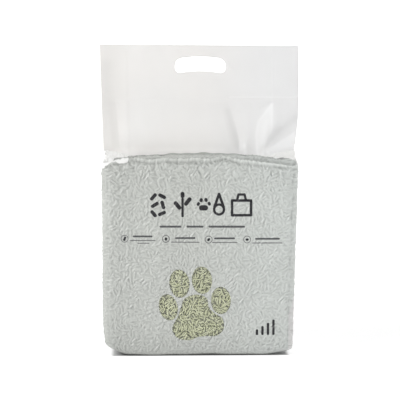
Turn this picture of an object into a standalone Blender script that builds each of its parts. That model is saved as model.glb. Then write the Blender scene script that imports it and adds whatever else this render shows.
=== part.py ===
"""A vacuum-packed bag of cat litter.

A side-gusseted film bag is drawn tight round a brick of litter pellets. Above the brick
the emptied film stands up as a flat header with a carrying slot. A paw-shaped group of
windows in the printed front shows the litter.

Metres, +Z up. The printed front faces -Y. The origin is on the floor under the middle.
"""

import math
import random

import bmesh
import bpy
from mathutils import Matrix, Vector
from mathutils.geometry import delaunay_2d_cdt, intersect_point_line

# Film, where one ply is drawn over the brick
PLY = 0.0003

# Brick of packed litter, measured outside the film
BRICK_WIDTH = 0.244
BRICK_DEPTH = 0.098
BRICK_HEIGHT = 0.245
EDGE_RADIUS = 0.010

# How the straight brick slumps
BASE_NARROWING = 0.009
BASE_SHIFT = -0.0030
FACE_CROWN = 0.003
FACE_LUMP = 0.0005
LUMP_PITCH = 0.130
ROOF_RISE = 0.004
CORNER_DROP = 0.005
HEEL_LIFT = 0.008
HEEL_TUCK = 0.0085
VALLEY_DEPTH = 0.0025
VALLEY_HALF_WIDTH = 0.014

# Folded film over the roof and under the base, where the bottom seal lies flat to the back
ROOF_FOLDS = 0.0025
FIN_WIDTH = 0.012
FIN_STEP = 0.0006
FIN_CREASE = 0.0005
FIN_MARGIN = 0.004
CREASE_HALF_WIDTH = 0.0008

# Crest, a rolled fold of film round the top of the brick, with a crease behind it. How far it runs below the
# edge of the roof, measured along the film, is given for the back and, from left to right, for the front
CREST_HEIGHT = 0.0018
CREST_HALF_WIDTH = 0.0028
CREASE_DEPTH = 0.0012
CREASE_SETBACK = 0.0050
CREASE_MARGIN = 0.007
BACK_CREST = 0.0055
FRONT_CREST = (
    (-0.122, 0.0090),
    (-0.088, 0.0015),
    (-0.061, 0.0066),
    (0.010, 0.0062),
    (0.030, 0.0005),
    (0.060, 0.0085),
    (0.122, 0.0124),
)

# Lap seam down the middle of the back
SEAM_WIDTH = 0.013
SEAM_STEP = 0.0005
SEAM_EDGE = 0.0006

# Pellets showing through the film
PELLET_DIAMETER = 0.0025
PELLET_SHORTEST = 0.006
PELLET_LONGEST = 0.014
PELLET_GAP = 0.0002
EMBOSS_HEIGHT = 0.0011
FRONT_CELL = 0.0138
BACK_CELL = 0.0210
SIDE_CELL = 0.0210

# Header above the ridge of the roof, wider than the brick by SPREAD at each side of its top
HEADER_HEIGHT = 0.138
HEADER_SPREAD = 0.0035
HEADER_LEFT_TUCK = 0.0010
HEADER_RIGHT_TUCK = 0.0035
HEADER_PULL_IN = 0.056
HEADER_WAVE = 0.0018
HEADER_WAVES = 1.3
HEADER_WAVE_PHASE = 0.8
TOP_SLOPE = 0.0028
GUSSET_TUCK = 0.0345
FOOT_FLARE = 0.0025
FOOT_HEIGHT = 0.006
SEAL_BELOW_TOP = 0.066
SEAL_HEIGHT = 0.006
SEAL_STEP = 0.0002
COLUMN_PITCH = 0.0160
ROW_PITCH = 0.0170

# Folds that gather towards the foot of the header. Each row of a fold is a height above the ridge of the roof,
# and there the x of the fold, how far it reaches to the left and to the right, and how far it stands back
HEADER_FOLDS = (
    (
        (0.000, 0.0794, 0.0057, 0.0050, -0.0007),
        (0.008, 0.0807, 0.0076, 0.0060, -0.0010),
        (0.021, 0.0845, 0.0127, 0.0120, -0.0020),
        (0.035, 0.0921, 0.0203, 0.0160, -0.0030),
        (0.055, 0.0927, 0.0095, 0.0120, -0.0014),
        (0.066, 0.0925, 0.0010, 0.0100, 0.0000),
    ),
    (
        (0.000, 0.0820, 0.0040, 0.0060, 0.0000),
        (0.011, 0.0974, 0.0120, 0.0120, 0.0024),
        (0.025, 0.1170, 0.0270, 0.0200, 0.0050),
        (0.040, 0.1380, 0.0400, 0.0200, 0.0065),
        (0.062, 0.1660, 0.0450, 0.0200, 0.0060),
        (0.070, 0.1750, 0.0450, 0.0200, 0.0000),
    ),
    (
        (0.000, 0.0530, 0.0080, 0.0060, 0.0012),
        (0.006, 0.0528, 0.0100, 0.0060, 0.0022),
        (0.020, 0.0516, 0.0130, 0.0120, 0.0028),
        (0.056, 0.0400, 0.0120, 0.0200, 0.0013),
        (0.075, 0.0340, 0.0100, 0.0100, 0.0000),
    ),
    (
        (0.000, -0.1040, 0.0100, 0.0120, 0.0012),
        (0.040, -0.1060, 0.0100, 0.0140, 0.0015),
        (0.090, -0.1090, 0.0100, 0.0140, 0.0000),
    ),
)

# Shoulders, where the film slants from the corners of the brick up to the edges of the header
SHOULDER_INSET = 0.0030
SHOULDER_REACH = 0.034
SHOULDER_RISE = 0.011
SHOULDER_WALL = 0.0010
GUSSET_NOTCH = 0.022

# Carrying slot, die-cut through the header
SLOT_LENGTH = 0.064
SLOT_HEIGHT = 0.0185
SLOT_CORNER = 0.0065
SLOT_ARCH = 0.0035
SLOT_BELOW_TOP = 0.0273
SLOT_SHIFT = 0.0013

# Paw-shaped windows: toes as (x, z, half width, half height, lean in degrees)
TOES = (
    (-0.0393, 0.0615, 0.0119, 0.0167, 16.0),
    (-0.0253, 0.0910, 0.0128, 0.0177, 8.0),
    (0.0032, 0.0951, 0.0129, 0.0173, 6.0),
    (0.0277, 0.0697, 0.0127, 0.0171, 4.0),
)
PAD_OUTLINE = (
    (-0.0046, 0.0774),
    (0.0093, 0.0730),
    (0.0126, 0.0615),
    (0.0204, 0.0536),
    (0.0303, 0.0468),
    (0.0320, 0.0340),
    (0.0235, 0.0256),
    (0.0111, 0.0250),
    (0.0002, 0.0243),
    (-0.0122, 0.0200),
    (-0.0277, 0.0234),
    (-0.0340, 0.0350),
    (-0.0274, 0.0493),
    (-0.0231, 0.0610),
    (-0.0189, 0.0720),
)
WINDOW_UNDERCUT = 0.0025
PELLET_SEAT = 0.0008

# Fits, mesh steps and random draws
GAP = 0.0003
PAST = 0.0010
CORE_CELL = 0.026
ARC_STEP = math.radians(22.5)
SHARP_ANGLE = math.radians(40.0)
CORNER_STEPS = 5
OUTLINE_STEPS = 2
TOE_SIDES = 16
PELLET_SIDES = 5
SEED = 7
PELLET_TRIALS = 900
LONG_PELLET_TRIALS = 500

# What follows from the sizes above
ROOF_RIDGE = BRICK_HEIGHT + ROOF_RISE
BAG_HEIGHT = ROOF_RIDGE + HEADER_HEIGHT
FLAT_WIDTH = BRICK_WIDTH + 2.0 * HEADER_SPREAD
BASE_FOLDS = PLY + max(FIN_STEP, FIN_CREASE)
INNER_GAP = PLY + GAP
POCKET_DEPTH = PELLET_DIAMETER + GAP - PELLET_SEAT
CREASE_END = BRICK_WIDTH / 2.0 - SHOULDER_INSET - SHOULDER_REACH - CREASE_MARGIN
FRONT_REACH = BRICK_DEPTH / 2.0 + FACE_CROWN + FACE_LUMP + EMBOSS_HEIGHT + PAST

PRINTED_FILM = (0.55, 0.57, 0.53, 1.0)
LITTER = (0.46, 0.47, 0.29, 1.0)


def clear_scene():
    """An empty scene to model in."""
    for obj in list(bpy.data.objects):
        bpy.data.objects.remove(obj)


def material(name, colour, roughness):
    """A plain coloured surface."""
    made = bpy.data.materials.new(name)
    made.use_nodes = True
    shader = made.node_tree.nodes["Principled BSDF"]
    shader.inputs["Base Color"].default_value = colour
    shader.inputs["Roughness"].default_value = roughness
    shader.inputs["Metallic"].default_value = 0.0
    return made


def object_from(name, bm, surface=None):
    """The finished mesh as an object. Without a surface it is a helper that isn't rendered."""
    bmesh.ops.recalc_face_normals(bm, faces=bm.faces[:])
    mesh = bpy.data.meshes.new(name)
    bm.to_mesh(mesh)
    bm.free()
    obj = bpy.data.objects.new(name, mesh)
    bpy.context.scene.collection.objects.link(obj)
    if surface:
        mesh.materials.append(surface)
        mesh.shade_smooth()
        mesh.set_sharp_from_angle(angle=SHARP_ANGLE)
    else:
        obj.hide_render = True
        obj.display_type = "WIRE"
    return obj


def combine(obj, other, operation):
    """Joins, or cuts away, another object."""
    modifier = obj.modifiers.new(other.name, "BOOLEAN")
    modifier.operation = operation
    modifier.solver = "EXACT"
    modifier.object = other


def clamp(value, low, high):
    """The value held between two limits."""
    return min(max(value, low), high)


def settle(point):
    """Where a point of the straight brick lies once the pack has slumped and been drawn tight."""
    x, y, z = point
    rise = clamp(z / BRICK_HEIGHT, 0.0, 1.0)
    side = clamp(2.0 * x / BRICK_WIDTH, -1.0, 1.0)
    front = clamp(2.0 * y / BRICK_DEPTH, -1.0, 1.0)
    belly = math.sin(math.pi * rise)
    lump = math.sin(2.0 * math.pi * (x + 0.6 * z) / LUMP_PITCH)
    lump *= math.sin(2.0 * math.pi * (z - 0.4 * x) / LUMP_PITCH)
    crown = FACE_CROWN * belly * (1.0 - side * side)
    valley = VALLEY_DEPTH * max(0.0, 1.0 - abs(y) / VALLEY_HALF_WIDTH)
    near_roof = clamp((rise - 0.85) / 0.15, 0.0, 1.0) ** 2
    near_base = (1.0 - rise) ** 12
    heel = clamp((-side - 0.8) / 0.2, 0.0, 1.0) ** 2
    tuck = HEEL_TUCK * heel * near_base**2
    return Vector((
        x * (1.0 - (1.0 - rise) * BASE_NARROWING / BRICK_WIDTH)
        + BASE_SHIFT * (1.0 - rise)
        + tuck
        - side * valley,
        y + front * (crown + FACE_LUMP * belly * lump),
        z
        + near_roof * (ROOF_RISE * (1.0 - abs(front)) - CORNER_DROP * side**4)
        + near_base * HEEL_LIFT * heel,
    ))


def cut_positions(low, high, radius, cell, extra=()):
    """Where planes cut a side of the box: through each rounded edge, and into equal cells between."""
    first, last = low + radius, high - radius
    cells = max(2, round((last - first) / cell))
    flat = [first + (last - first) * i / cells for i in range(cells + 1)]
    share = radius * math.tan(ARC_STEP)
    return [first - share, *flat, last + share, *extra]


def cut_box(low, high, cuts):
    """A box between two corners, cut right through by planes across each axis."""
    bm = bmesh.new()
    bmesh.ops.create_cube(bm, size=1.0)
    middle, size = (low + high) / 2.0, high - low
    for vert in bm.verts:
        vert.co = middle + Vector(v * s for v, s in zip(vert.co, size))
    for axis, positions in enumerate(cuts):
        across = Vector((0.0, 0.0, 0.0))
        across[axis] = 1.0
        for position in positions:
            whole = bm.verts[:] + bm.edges[:] + bm.faces[:]
            bmesh.ops.bisect_plane(bm, geom=whole, dist=1e-7, plane_co=across * position, plane_no=across)
    return bm


def rounded_brick(inset, base, roof, cell, across=(), along=()):
    """The brick with rounded edges, its walls moved in by inset, from height base to height roof."""
    radius = EDGE_RADIUS - inset
    low = Vector((inset - BRICK_WIDTH / 2.0, inset - BRICK_DEPTH / 2.0, base))
    high = Vector((BRICK_WIDTH / 2.0 - inset, BRICK_DEPTH / 2.0 - inset, roof))
    extras = (across, (0.0, -VALLEY_HALF_WIDTH, VALLEY_HALF_WIDTH, *along), ())
    cuts = [cut_positions(low[i], high[i], radius, cell, extras[i]) for i in range(3)]
    bm = cut_box(low, high, cuts)
    for vert in bm.verts:
        core = Vector(clamp(vert.co[i], low[i] + radius, high[i] - radius) for i in range(3))
        vert.co = core + (vert.co - core).normalized() * radius
    bm.normal_update()
    return bm


def flat_faces(bm, normal, low=-1.0, high=1.0, axis=0):
    """The faces that look exactly along normal, with their middles between low and high on an axis."""
    return [
        face
        for face in bm.faces
        if face.normal.dot(normal) > 0.99999 and low < face.calc_center_median()[axis] < high
    ]


def emboss(bm, faces, cell, rng):
    """Swaps a flat rectangle of faces for a net with one pellet-like ridge in each cell."""
    normal = faces[0].normal.copy()
    level = faces[0].verts[0].co.dot(normal)
    up = Vector((0.0, 0.0, 1.0))
    right = up.cross(normal)
    chosen = set(faces)
    border = [e for e in {e for f in faces for e in f.edges} if len(chosen & set(e.link_faces)) == 1]
    rim = list({v for e in border for v in e.verts})
    number = {v: i for i, v in enumerate(rim)}
    points = [Vector((v.co.dot(right), v.co.dot(up))) for v in rim]
    edges = [(number[e.verts[0]], number[e.verts[1]]) for e in border]
    heights = [0.0] * len(rim)
    bmesh.ops.delete(bm, geom=faces, context="FACES")

    low = Vector((min(p.x for p in points), min(p.y for p in points)))
    high = Vector((max(p.x for p in points), max(p.y for p in points)))
    columns = max(1, round((high.x - low.x) / cell))
    rows = max(1, round((high.y - low.y) / cell))
    step = Vector(((high.x - low.x) / columns, (high.y - low.y) / rows))
    for i in range(columns):
        for j in range(rows):
            corner = low + Vector((i * step.x, j * step.y))
            if i and j:
                shake = Vector((rng.uniform(-0.2, 0.2) * step.x, rng.uniform(-0.2, 0.2) * step.y))
                points.append(corner + shake)
                heights.append(0.0)
            angle = rng.uniform(0.0, math.pi)
            half = 0.36 * Vector((math.cos(angle) * step.x, math.sin(angle) * step.y))
            middle = corner + 0.5 * step
            edges.append((len(points), len(points) + 1))
            points += [middle - half, middle + half]
            heights += [EMBOSS_HEIGHT * rng.uniform(0.6, 1.0)] * 2

    spots, _, triangles, sources, _, _ = delaunay_2d_cdt(points, edges, [], 1, 1e-7)
    verts = []
    for spot, source in zip(spots, sources):
        if source and source[0] < len(rim):
            verts.append(rim[source[0]])
            continue
        height = heights[source[0]] if source else EMBOSS_HEIGHT
        verts.append(bm.verts.new(right * spot.x + up * spot.y + normal * (level + height)))
    for triangle in triangles:
        bm.faces.new([verts[i] for i in triangle])


def score_base(bm):
    """Presses the outline of the bottom seal, folded flat to the back, into the base."""
    down = Vector((0.0, 0.0, -1.0))
    lines = (
        (-CREASE_HALF_WIDTH, 0.0),
        (0.0, FIN_CREASE),
        (CREASE_HALF_WIDTH, 0.0),
        (FIN_WIDTH, 0.0),
        (FIN_WIDTH + CREASE_HALF_WIDTH, FIN_STEP),
        (FIN_WIDTH + FIN_MARGIN, FIN_STEP),
        (FIN_WIDTH + 2.0 * FIN_MARGIN, 0.0),
    )
    for y, _ in lines:
        base = flat_faces(bm, down)
        geom = base + list({e for f in base for e in f.edges}) + list({v for f in base for v in f.verts})
        bmesh.ops.bisect_plane(
            bm, geom=geom, dist=1e-7, plane_co=Vector((0.0, y, 0.0)), plane_no=Vector((0.0, 1.0, 0.0))
        )
    base = flat_faces(bm, down)
    for vert in {v for f in base for v in f.verts}:
        for y, depth in lines:
            if abs(vert.co.y - y) < 1e-6:
                vert.co.z += depth


def crest_drop(x, y):
    """How far the crest runs below the edge of the roof, measured along the film."""
    if y > 0.0:
        return BACK_CREST
    for (left, start), (right, end) in zip(FRONT_CREST, FRONT_CREST[1:]):
        if x < right:
            return start + (end - start) * clamp((x - left) / (right - left), 0.0, 1.0)
    return FRONT_CREST[-1][1]


def roll_crest(bm):
    """Rolls up the fold of film along the long edges of the roof, and presses in the crease behind it."""
    half_x = BRICK_WIDTH / 2.0 - EDGE_RADIUS
    half_y = BRICK_DEPTH / 2.0 - EDGE_RADIUS
    top = BRICK_HEIGHT - EDGE_RADIUS
    for vert in bm.verts:
        x, y, z = vert.co
        if z < top or abs(y) < half_y - 1e-6:
            continue
        core = Vector((clamp(x, -half_x, half_x), math.copysign(half_y, y), top))
        out = vert.co - core
        tilt = math.atan2(math.hypot(out.x, out.y), out.z)
        gap = crest_drop(x, y) - EDGE_RADIUS * tilt
        fade = clamp((half_x + EDGE_RADIUS - abs(x)) / EDGE_RADIUS, 0.0, 1.0)
        rise = CREST_HEIGHT * fade * math.exp(-((gap / CREST_HALF_WIDTH) ** 2))
        if abs(x) < CREASE_END:
            rise -= CREASE_DEPTH * math.exp(-(((gap - CREASE_SETBACK) / CREST_HALF_WIDTH) ** 2))
        vert.co += out.normalized() * rise


def raise_back_seam(bm):
    """Lifts the lapped strip down the middle of the back."""
    for vert in bm.verts:
        over_back = vert.co.y > BRICK_DEPTH / 2.0 - EDGE_RADIUS
        if over_back and abs(vert.co.x) < SEAM_WIDTH / 2.0 + 1e-6:
            vert.co.y += SEAM_STEP


def film_skin():
    """The outside of the film where it is drawn onto the brick."""
    rng = random.Random(SEED)
    seam = SEAM_WIDTH / 2.0
    edge = seam + SEAM_EDGE
    bm = rounded_brick(0.0, 0.0, BRICK_HEIGHT, FRONT_CELL * 1.25, across=(-edge, -seam, seam, edge))
    front, back, right = Vector((0.0, -1.0, 0.0)), Vector((0.0, 1.0, 0.0)), Vector((1.0, 0.0, 0.0))
    emboss(bm, flat_faces(bm, front), FRONT_CELL, rng)
    emboss(bm, flat_faces(bm, back, high=-edge), BACK_CELL, rng)
    emboss(bm, flat_faces(bm, back, low=edge), BACK_CELL, rng)
    lines = (-1.0, -VALLEY_HALF_WIDTH, 0.0, VALLEY_HALF_WIDTH, 1.0)
    for outward in (right, -right):
        for low, high in zip(lines, lines[1:]):
            emboss(bm, flat_faces(bm, outward, low, high, axis=1), SIDE_CELL, rng)
    roll_crest(bm)
    score_base(bm)
    raise_back_seam(bm)
    for vert in bm.verts:
        vert.co = settle(vert.co)
    return object_from("film_bag", bm, material("printed_film", PRINTED_FILM, 0.42))


def brick_core(inset):
    """The brick inside the film, with its walls moved in by inset."""
    extra = inset - PLY
    bm = rounded_brick(inset, BASE_FOLDS + extra, BRICK_HEIGHT - ROOF_FOLDS - extra, CORE_CELL)
    for vert in bm.verts:
        vert.co = settle(vert.co)
    return bm


def header_half_width(z, side):
    """Half the header's width at a height. The right edge stays straight longer than the left."""
    top = FLAT_WIDTH / 2.0
    if side < 0.0:
        share = clamp((BAG_HEIGHT - z) / HEADER_HEIGHT, 0.0, 1.0)
        return top - share * (HEADER_SPREAD + HEADER_LEFT_TUCK)
    share = clamp((ROOF_RIDGE + HEADER_PULL_IN - z) / HEADER_PULL_IN, 0.0, 1.0) ** 2
    return top - share * (HEADER_SPREAD + HEADER_RIGHT_TUCK)


def between_rows(rows, rise):
    """The values of a table at a height, mixed from the two nearest rows. Past the last row there are none."""
    for low, high in zip(rows, rows[1:]):
        if rise < high[0]:
            share = clamp((rise - low[0]) / (high[0] - low[0]), 0.0, 1.0)
            return [a + (b - a) * share for a, b in zip(low[1:], high[1:])]
    return None


def header_surface(x, z):
    """How far the middle of the header lies from its flat plane."""
    rise = z - ROOF_RIDGE
    free = clamp(rise / HEADER_HEIGHT, 0.0, 1.0)
    wave = math.sin(2.0 * math.pi * HEADER_WAVES * x / FLAT_WIDTH + HEADER_WAVE_PHASE)
    depth = HEADER_WAVE * math.sin(math.pi * free) * wave
    settled = clamp(rise / (2.0 * FOOT_HEIGHT), 0.0, 1.0)
    for rows in HEADER_FOLDS:
        fold = between_rows(rows, rise)
        if fold:
            middle, left, right, height = fold
            reach = left if x < middle else right
            depth += height * settled * clamp(1.0 - abs(x - middle) / reach, 0.0, 1.0)
    return depth


def header_plies():
    """The emptied film above the brick, pressed flat: two plies, and four where the gussets fold in."""
    seal = BAG_HEIGHT - SEAL_BELOW_TOP
    edge = SEAL_STEP * 2.0
    tuck = FLAT_WIDTH / 2.0 - GUSSET_TUCK
    columns = [-tuck, edge - tuck, tuck - edge, tuck]
    count = round(FLAT_WIDTH / COLUMN_PITCH)
    spread = [FLAT_WIDTH * (i / count - 0.5) for i in range(1, count)]
    columns += [x for x in spread if min(abs(x - c) for c in columns) > COLUMN_PITCH / 4.0]
    rows = [ROOF_RIDGE, ROOF_RIDGE + FOOT_HEIGHT / 2.0, ROOF_RIDGE + FOOT_HEIGHT]
    rows += [seal - SEAL_HEIGHT, seal - SEAL_HEIGHT + edge, seal - edge, seal]
    count = round(HEADER_HEIGHT / ROW_PITCH)
    spread = [ROOF_RIDGE + HEADER_HEIGHT * i / count for i in range(1, count)]
    rows += [z for z in spread if min(abs(z - r) for r in rows) > ROW_PITCH / 4.0]
    low = Vector((-FLAT_WIDTH / 2.0, -PLY, ROOF_RIDGE - ROOF_FOLDS))
    high = Vector((FLAT_WIDTH / 2.0, PLY, BAG_HEIGHT))
    bm = cut_box(low, high, (columns, (), rows))
    for vert in bm.verts:
        x, y, z = vert.co
        rise = (z - ROOF_RIDGE) / HEADER_HEIGHT
        thick = PLY * (2.0 if abs(x) > tuck - edge / 2.0 else 1.0)
        if seal - SEAL_HEIGHT + edge / 2.0 < z < seal - edge / 2.0:
            thick += SEAL_STEP
        thick += FOOT_FLARE * clamp(1.0 - (z - ROOF_RIDGE) / FOOT_HEIGHT, 0.0, 1.0) ** 2
        slope = TOP_SLOPE * (0.5 + x / FLAT_WIDTH) * clamp(rise, 0.0, 1.0) ** 4
        vert.co = Vector((
            x * header_half_width(z, x) / (FLAT_WIDTH / 2.0),
            header_surface(x, z) + math.copysign(thick, y),
            z - slope,
        ))
    return object_from("header_plies", bm)


def tent(name, side):
    """A ridge tent of film at one end of the roof, its ridge rising out to the edge of the header."""
    outer = BRICK_WIDTH / 2.0 - SHOULDER_INSET
    inner = outer - SHOULDER_REACH
    eave = (BRICK_DEPTH - EDGE_RADIUS) / 2.0
    corner = BRICK_HEIGHT - CORNER_DROP
    low = corner - EDGE_RADIUS
    bm = bmesh.new()
    corners = [
        bm.verts.new((side * x, y, z))
        for x, y, z in (
            (inner, -eave, low),
            (inner, eave, low),
            (outer, eave, low),
            (outer, -eave, low),
            (inner, 0.0, (BRICK_HEIGHT + ROOF_RIDGE) / 2.0),
            (outer, 0.0, BRICK_HEIGHT + SHOULDER_RISE),
            (inner, -eave, corner),
            (inner, eave, corner),
            (outer, eave, corner - EDGE_RADIUS / 2.0),
            (outer, -eave, corner - EDGE_RADIUS / 2.0),
        )
    ]
    loops = (
        (0, 1, 2, 3),
        (0, 6, 4, 7, 1),
        (3, 2, 8, 5, 9),
        (0, 3, 9, 6),
        (1, 7, 8, 2),
        (6, 9, 5, 4),
        (7, 4, 5, 8),
    )
    for loop in loops:
        bm.faces.new([corners[i] for i in loop])
    bmesh.ops.triangulate(bm, faces=bm.faces[:])
    return object_from(name, bm)


def gusset_notch(name, side):
    """The hollow left where the side film folds in under a shoulder, coming to a point inside."""
    outer = BRICK_WIDTH / 2.0 - SHOULDER_INSET
    eave = (BRICK_DEPTH - EDGE_RADIUS) / 2.0
    peak = BRICK_HEIGHT + SHOULDER_RISE
    low = BRICK_HEIGHT - CORNER_DROP + SHOULDER_WALL
    spread = eave * (peak - low) / (SHOULDER_RISE + CORNER_DROP + EDGE_RADIUS / 2.0)
    point = Vector((outer - GUSSET_NOTCH, 0.0, ROOF_RIDGE))
    mouth = (
        Vector((outer, 2.0 * SHOULDER_WALL - spread, low)),
        Vector((outer, spread - 2.0 * SHOULDER_WALL, low)),
        Vector((outer, 0.0, peak - 2.0 * SHOULDER_WALL)),
    )
    bm = bmesh.new()
    corners = [bm.verts.new((side * point.x, point.y, point.z))]
    for corner in mouth:
        spot = point + (corner - point) * 1.5
        corners.append(bm.verts.new((side * spot.x, spot.y, spot.z)))
    for loop in ((0, 1, 2), (0, 2, 3), (0, 3, 1), (1, 3, 2)):
        bm.faces.new([corners[i] for i in loop])
    return object_from(name, bm)


def shoulder(name, side):
    """The film slanting up from the corners at one end of the brick to the edge of the header."""
    outside = tent(name, side)
    combine(outside, gusset_notch(f"{name}_notch", side), "DIFFERENCE")
    return outside


def prism(name, outline, near, far):
    """A closed outline in x and z, extruded along y between two depths."""
    bm = bmesh.new()
    face = bm.faces.new([bm.verts.new((x, near, z)) for x, z in outline])
    swept = bmesh.ops.extrude_face_region(bm, geom=[face])
    for item in swept["geom"]:
        if isinstance(item, bmesh.types.BMVert):
            item.co.y = far
    return object_from(name, bm)


def slot_outline():
    """The carrying slot: a rounded rectangle, arched upwards in the middle."""
    across, up = SLOT_LENGTH / 2.0 - SLOT_CORNER, SLOT_HEIGHT / 2.0 - SLOT_CORNER
    points = []
    for quarter, (sx, sz) in enumerate(((1, 1), (-1, 1), (-1, -1), (1, -1))):
        for i in range(CORNER_STEPS + 1):
            angle = 0.5 * math.pi * (quarter + i / CORNER_STEPS)
            points.append((
                sx * across + SLOT_CORNER * math.cos(angle),
                sz * up + SLOT_CORNER * math.sin(angle),
            ))
        if sx != sz:
            continue
        points += [(sx * across * (1.0 - i / 3.0), sz * SLOT_HEIGHT / 2.0) for i in range(1, 6)]
    level = BAG_HEIGHT - SLOT_BELOW_TOP
    return [
        (x + SLOT_SHIFT, z + level + SLOT_ARCH * (1.0 - (2.0 * x / SLOT_LENGTH) ** 2))
        for x, z in points
    ]


def toe_outline(toe, grow=0.0):
    """A leaning oval, made larger all round by grow."""
    x, z, half_width, half_height, lean = toe
    turn = Matrix.Rotation(math.radians(lean), 2)
    outline = []
    for i in range(TOE_SIDES):
        angle = 2.0 * math.pi * i / TOE_SIDES
        offset = turn @ Vector(((half_width + grow) * math.cos(angle), (half_height + grow) * math.sin(angle)))
        outline.append((x + offset.x, z + offset.y))
    return outline


def pad_outline(grow=0.0):
    """A smooth closed curve through the pad's points, made larger all round by grow."""
    points = [Vector(p) for p in PAD_OUTLINE]
    count = len(points)
    curve = []
    for i in range(count):
        a, b, c, d = (points[(i + k) % count] for k in (-1, 0, 1, 2))
        for step in range(OUTLINE_STEPS):
            t = step / OUTLINE_STEPS
            spot = 0.5 * (
                2.0 * b + (c - a) * t + (2.0 * a - 5.0 * b + 4.0 * c - d) * t**2
                + (3.0 * b - a - 3.0 * c + d) * t**3
            )
            curve.append(spot)
    size = len(curve)
    grown = []
    for i, spot in enumerate(curve):
        along = curve[(i + 1) % size] - curve[i - 1]
        outward = Vector((-along.y, along.x)).normalized()
        grown.append(tuple(spot + outward * grow))
    return grown


def window_outlines(grow=0.0):
    """The five clear windows of the paw."""
    return [pad_outline(grow)] + [toe_outline(toe, grow) for toe in TOES]


def inside(spot, outline):
    """Whether a point lies inside a closed outline, by counting the edges to its right."""
    crossings = 0
    for (x0, z0), (x1, z1) in zip(outline, outline[1:] + outline[:1]):
        if (z0 > spot.y) != (z1 > spot.y) and spot.x < x0 + (spot.y - z0) * (x1 - x0) / (z1 - z0):
            crossings += 1
    return crossings % 2 == 1


def clear_of(start, end, others, distance):
    """Whether a pellet's centre line keeps a distance from every other pellet's."""
    steps = 6
    spots = [start.lerp(end, i / steps) for i in range(steps + 1)]
    for other_start, other_end in others:
        if (other_start + other_end - start - end).length / 2.0 > PELLET_LONGEST + distance:
            continue
        for spot in spots:
            near, share = intersect_point_line(spot, other_start, other_end)
            near = Vector(near[:2]) if 0.0 < share < 1.0 else (other_start if share <= 0.0 else other_end)
            if (near - spot).length < distance:
                return False
    return True


def window_pellets():
    """Centre lines of the pellets that lie against the windows, as pairs of points in x and z."""
    rng = random.Random(SEED)
    placed = []
    for outline in window_outlines(WINDOW_UNDERCUT - PELLET_DIAMETER / 2.0):
        low_x, high_x = min(p[0] for p in outline), max(p[0] for p in outline)
        low_z, high_z = min(p[1] for p in outline), max(p[1] for p in outline)
        for trial in range(PELLET_TRIALS):
            middle = Vector((rng.uniform(low_x, high_x), rng.uniform(low_z, high_z)))
            longest = PELLET_LONGEST if trial < LONG_PELLET_TRIALS else PELLET_LONGEST / 2.0
            half = rng.uniform(PELLET_SHORTEST, longest) / 2.0
            angle = rng.uniform(0.0, math.pi)
            reach = Vector((math.cos(angle), math.sin(angle))) * half
            start, end = middle - reach, middle + reach
            if not (inside(start, outline) and inside(end, outline) and inside(middle, outline)):
                continue
            if clear_of(start, end, placed, PELLET_DIAMETER + PELLET_GAP):
                placed.append((start, end))
    return placed


def add_pellet(bm, start, end, level):
    """One pellet lying in the front face, with broken flat ends."""
    along = Vector((end.x - start.x, 0.0, end.y - start.y))
    axis = along.normalized()
    out = Vector((0.0, -1.0, 0.0))
    over = axis.cross(out)
    radius = PELLET_DIAMETER / 2.0
    rings = []
    for centre in (Vector((start.x, level, start.y)), Vector((end.x, level, end.y))):
        ring = []
        for i in range(PELLET_SIDES):
            angle = 2.0 * math.pi * (i + 0.5) / PELLET_SIDES
            offset = out * math.sin(angle) + over * math.cos(angle)
            ring.append(bm.verts.new(settle(centre + offset * radius)))
        rings.append(ring)
    bm.faces.new(rings[0])
    bm.faces.new(rings[1][::-1])
    for i in range(PELLET_SIDES):
        j = (i + 1) % PELLET_SIDES
        bm.faces.new((rings[0][j], rings[0][i], rings[1][i], rings[1][j]))


def litter_fill():
    """The packed litter: one brick, with single pellets modelled where the windows show them."""
    litter = object_from("litter_fill", brick_core(INNER_GAP), material("litter", LITTER, 0.85))
    face = INNER_GAP - BRICK_DEPTH / 2.0
    for number, outline in enumerate(window_outlines(WINDOW_UNDERCUT)):
        settled = [settle(Vector((x, face, z))) for x, z in outline]
        floor = min(spot.y for spot in settled) + POCKET_DEPTH
        shape = [(spot.x, spot.z) for spot in settled]
        combine(litter, prism(f"pocket_{number}", shape, -FRONT_REACH, floor), "DIFFERENCE")
    bm = bmesh.new()
    for start, end in window_pellets():
        add_pellet(bm, start, end, face + GAP + PELLET_DIAMETER / 2.0)
    combine(litter, object_from("pellets", bm), "UNION")
    return litter


def film_bag():
    """The whole bag: film drawn round the brick, header, carrying slot and windows."""
    bag = film_skin()
    combine(bag, header_plies(), "UNION")
    combine(bag, shoulder("left_shoulder", -1.0), "UNION")
    combine(bag, shoulder("right_shoulder", 1.0), "UNION")
    combine(bag, object_from("cavity", brick_core(PLY)), "DIFFERENCE")
    combine(bag, prism("slot", slot_outline(), -FRONT_REACH, FRONT_REACH), "DIFFERENCE")
    behind = PLY + FACE_LUMP + PAST - BRICK_DEPTH / 2.0
    for number, outline in enumerate(window_outlines()):
        settled = [settle(Vector((x, -BRICK_DEPTH / 2.0, z))) for x, z in outline]
        shape = [(spot.x, spot.z) for spot in settled]
        combine(bag, prism(f"window_{number}", shape, -FRONT_REACH, behind), "DIFFERENCE")
    return bag


def main():
    clear_scene()
    film_bag()
    litter_fill()


main()
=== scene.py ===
"""The cat litter bag, dressed: printed film drawn over pelleted litter, with clear windows in the shape
of a paw and an empty head of milky film."""

import math

import bmesh
import bpy
import numpy as np
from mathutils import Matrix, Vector
from mathutils.bvhtree import BVHTree


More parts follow.
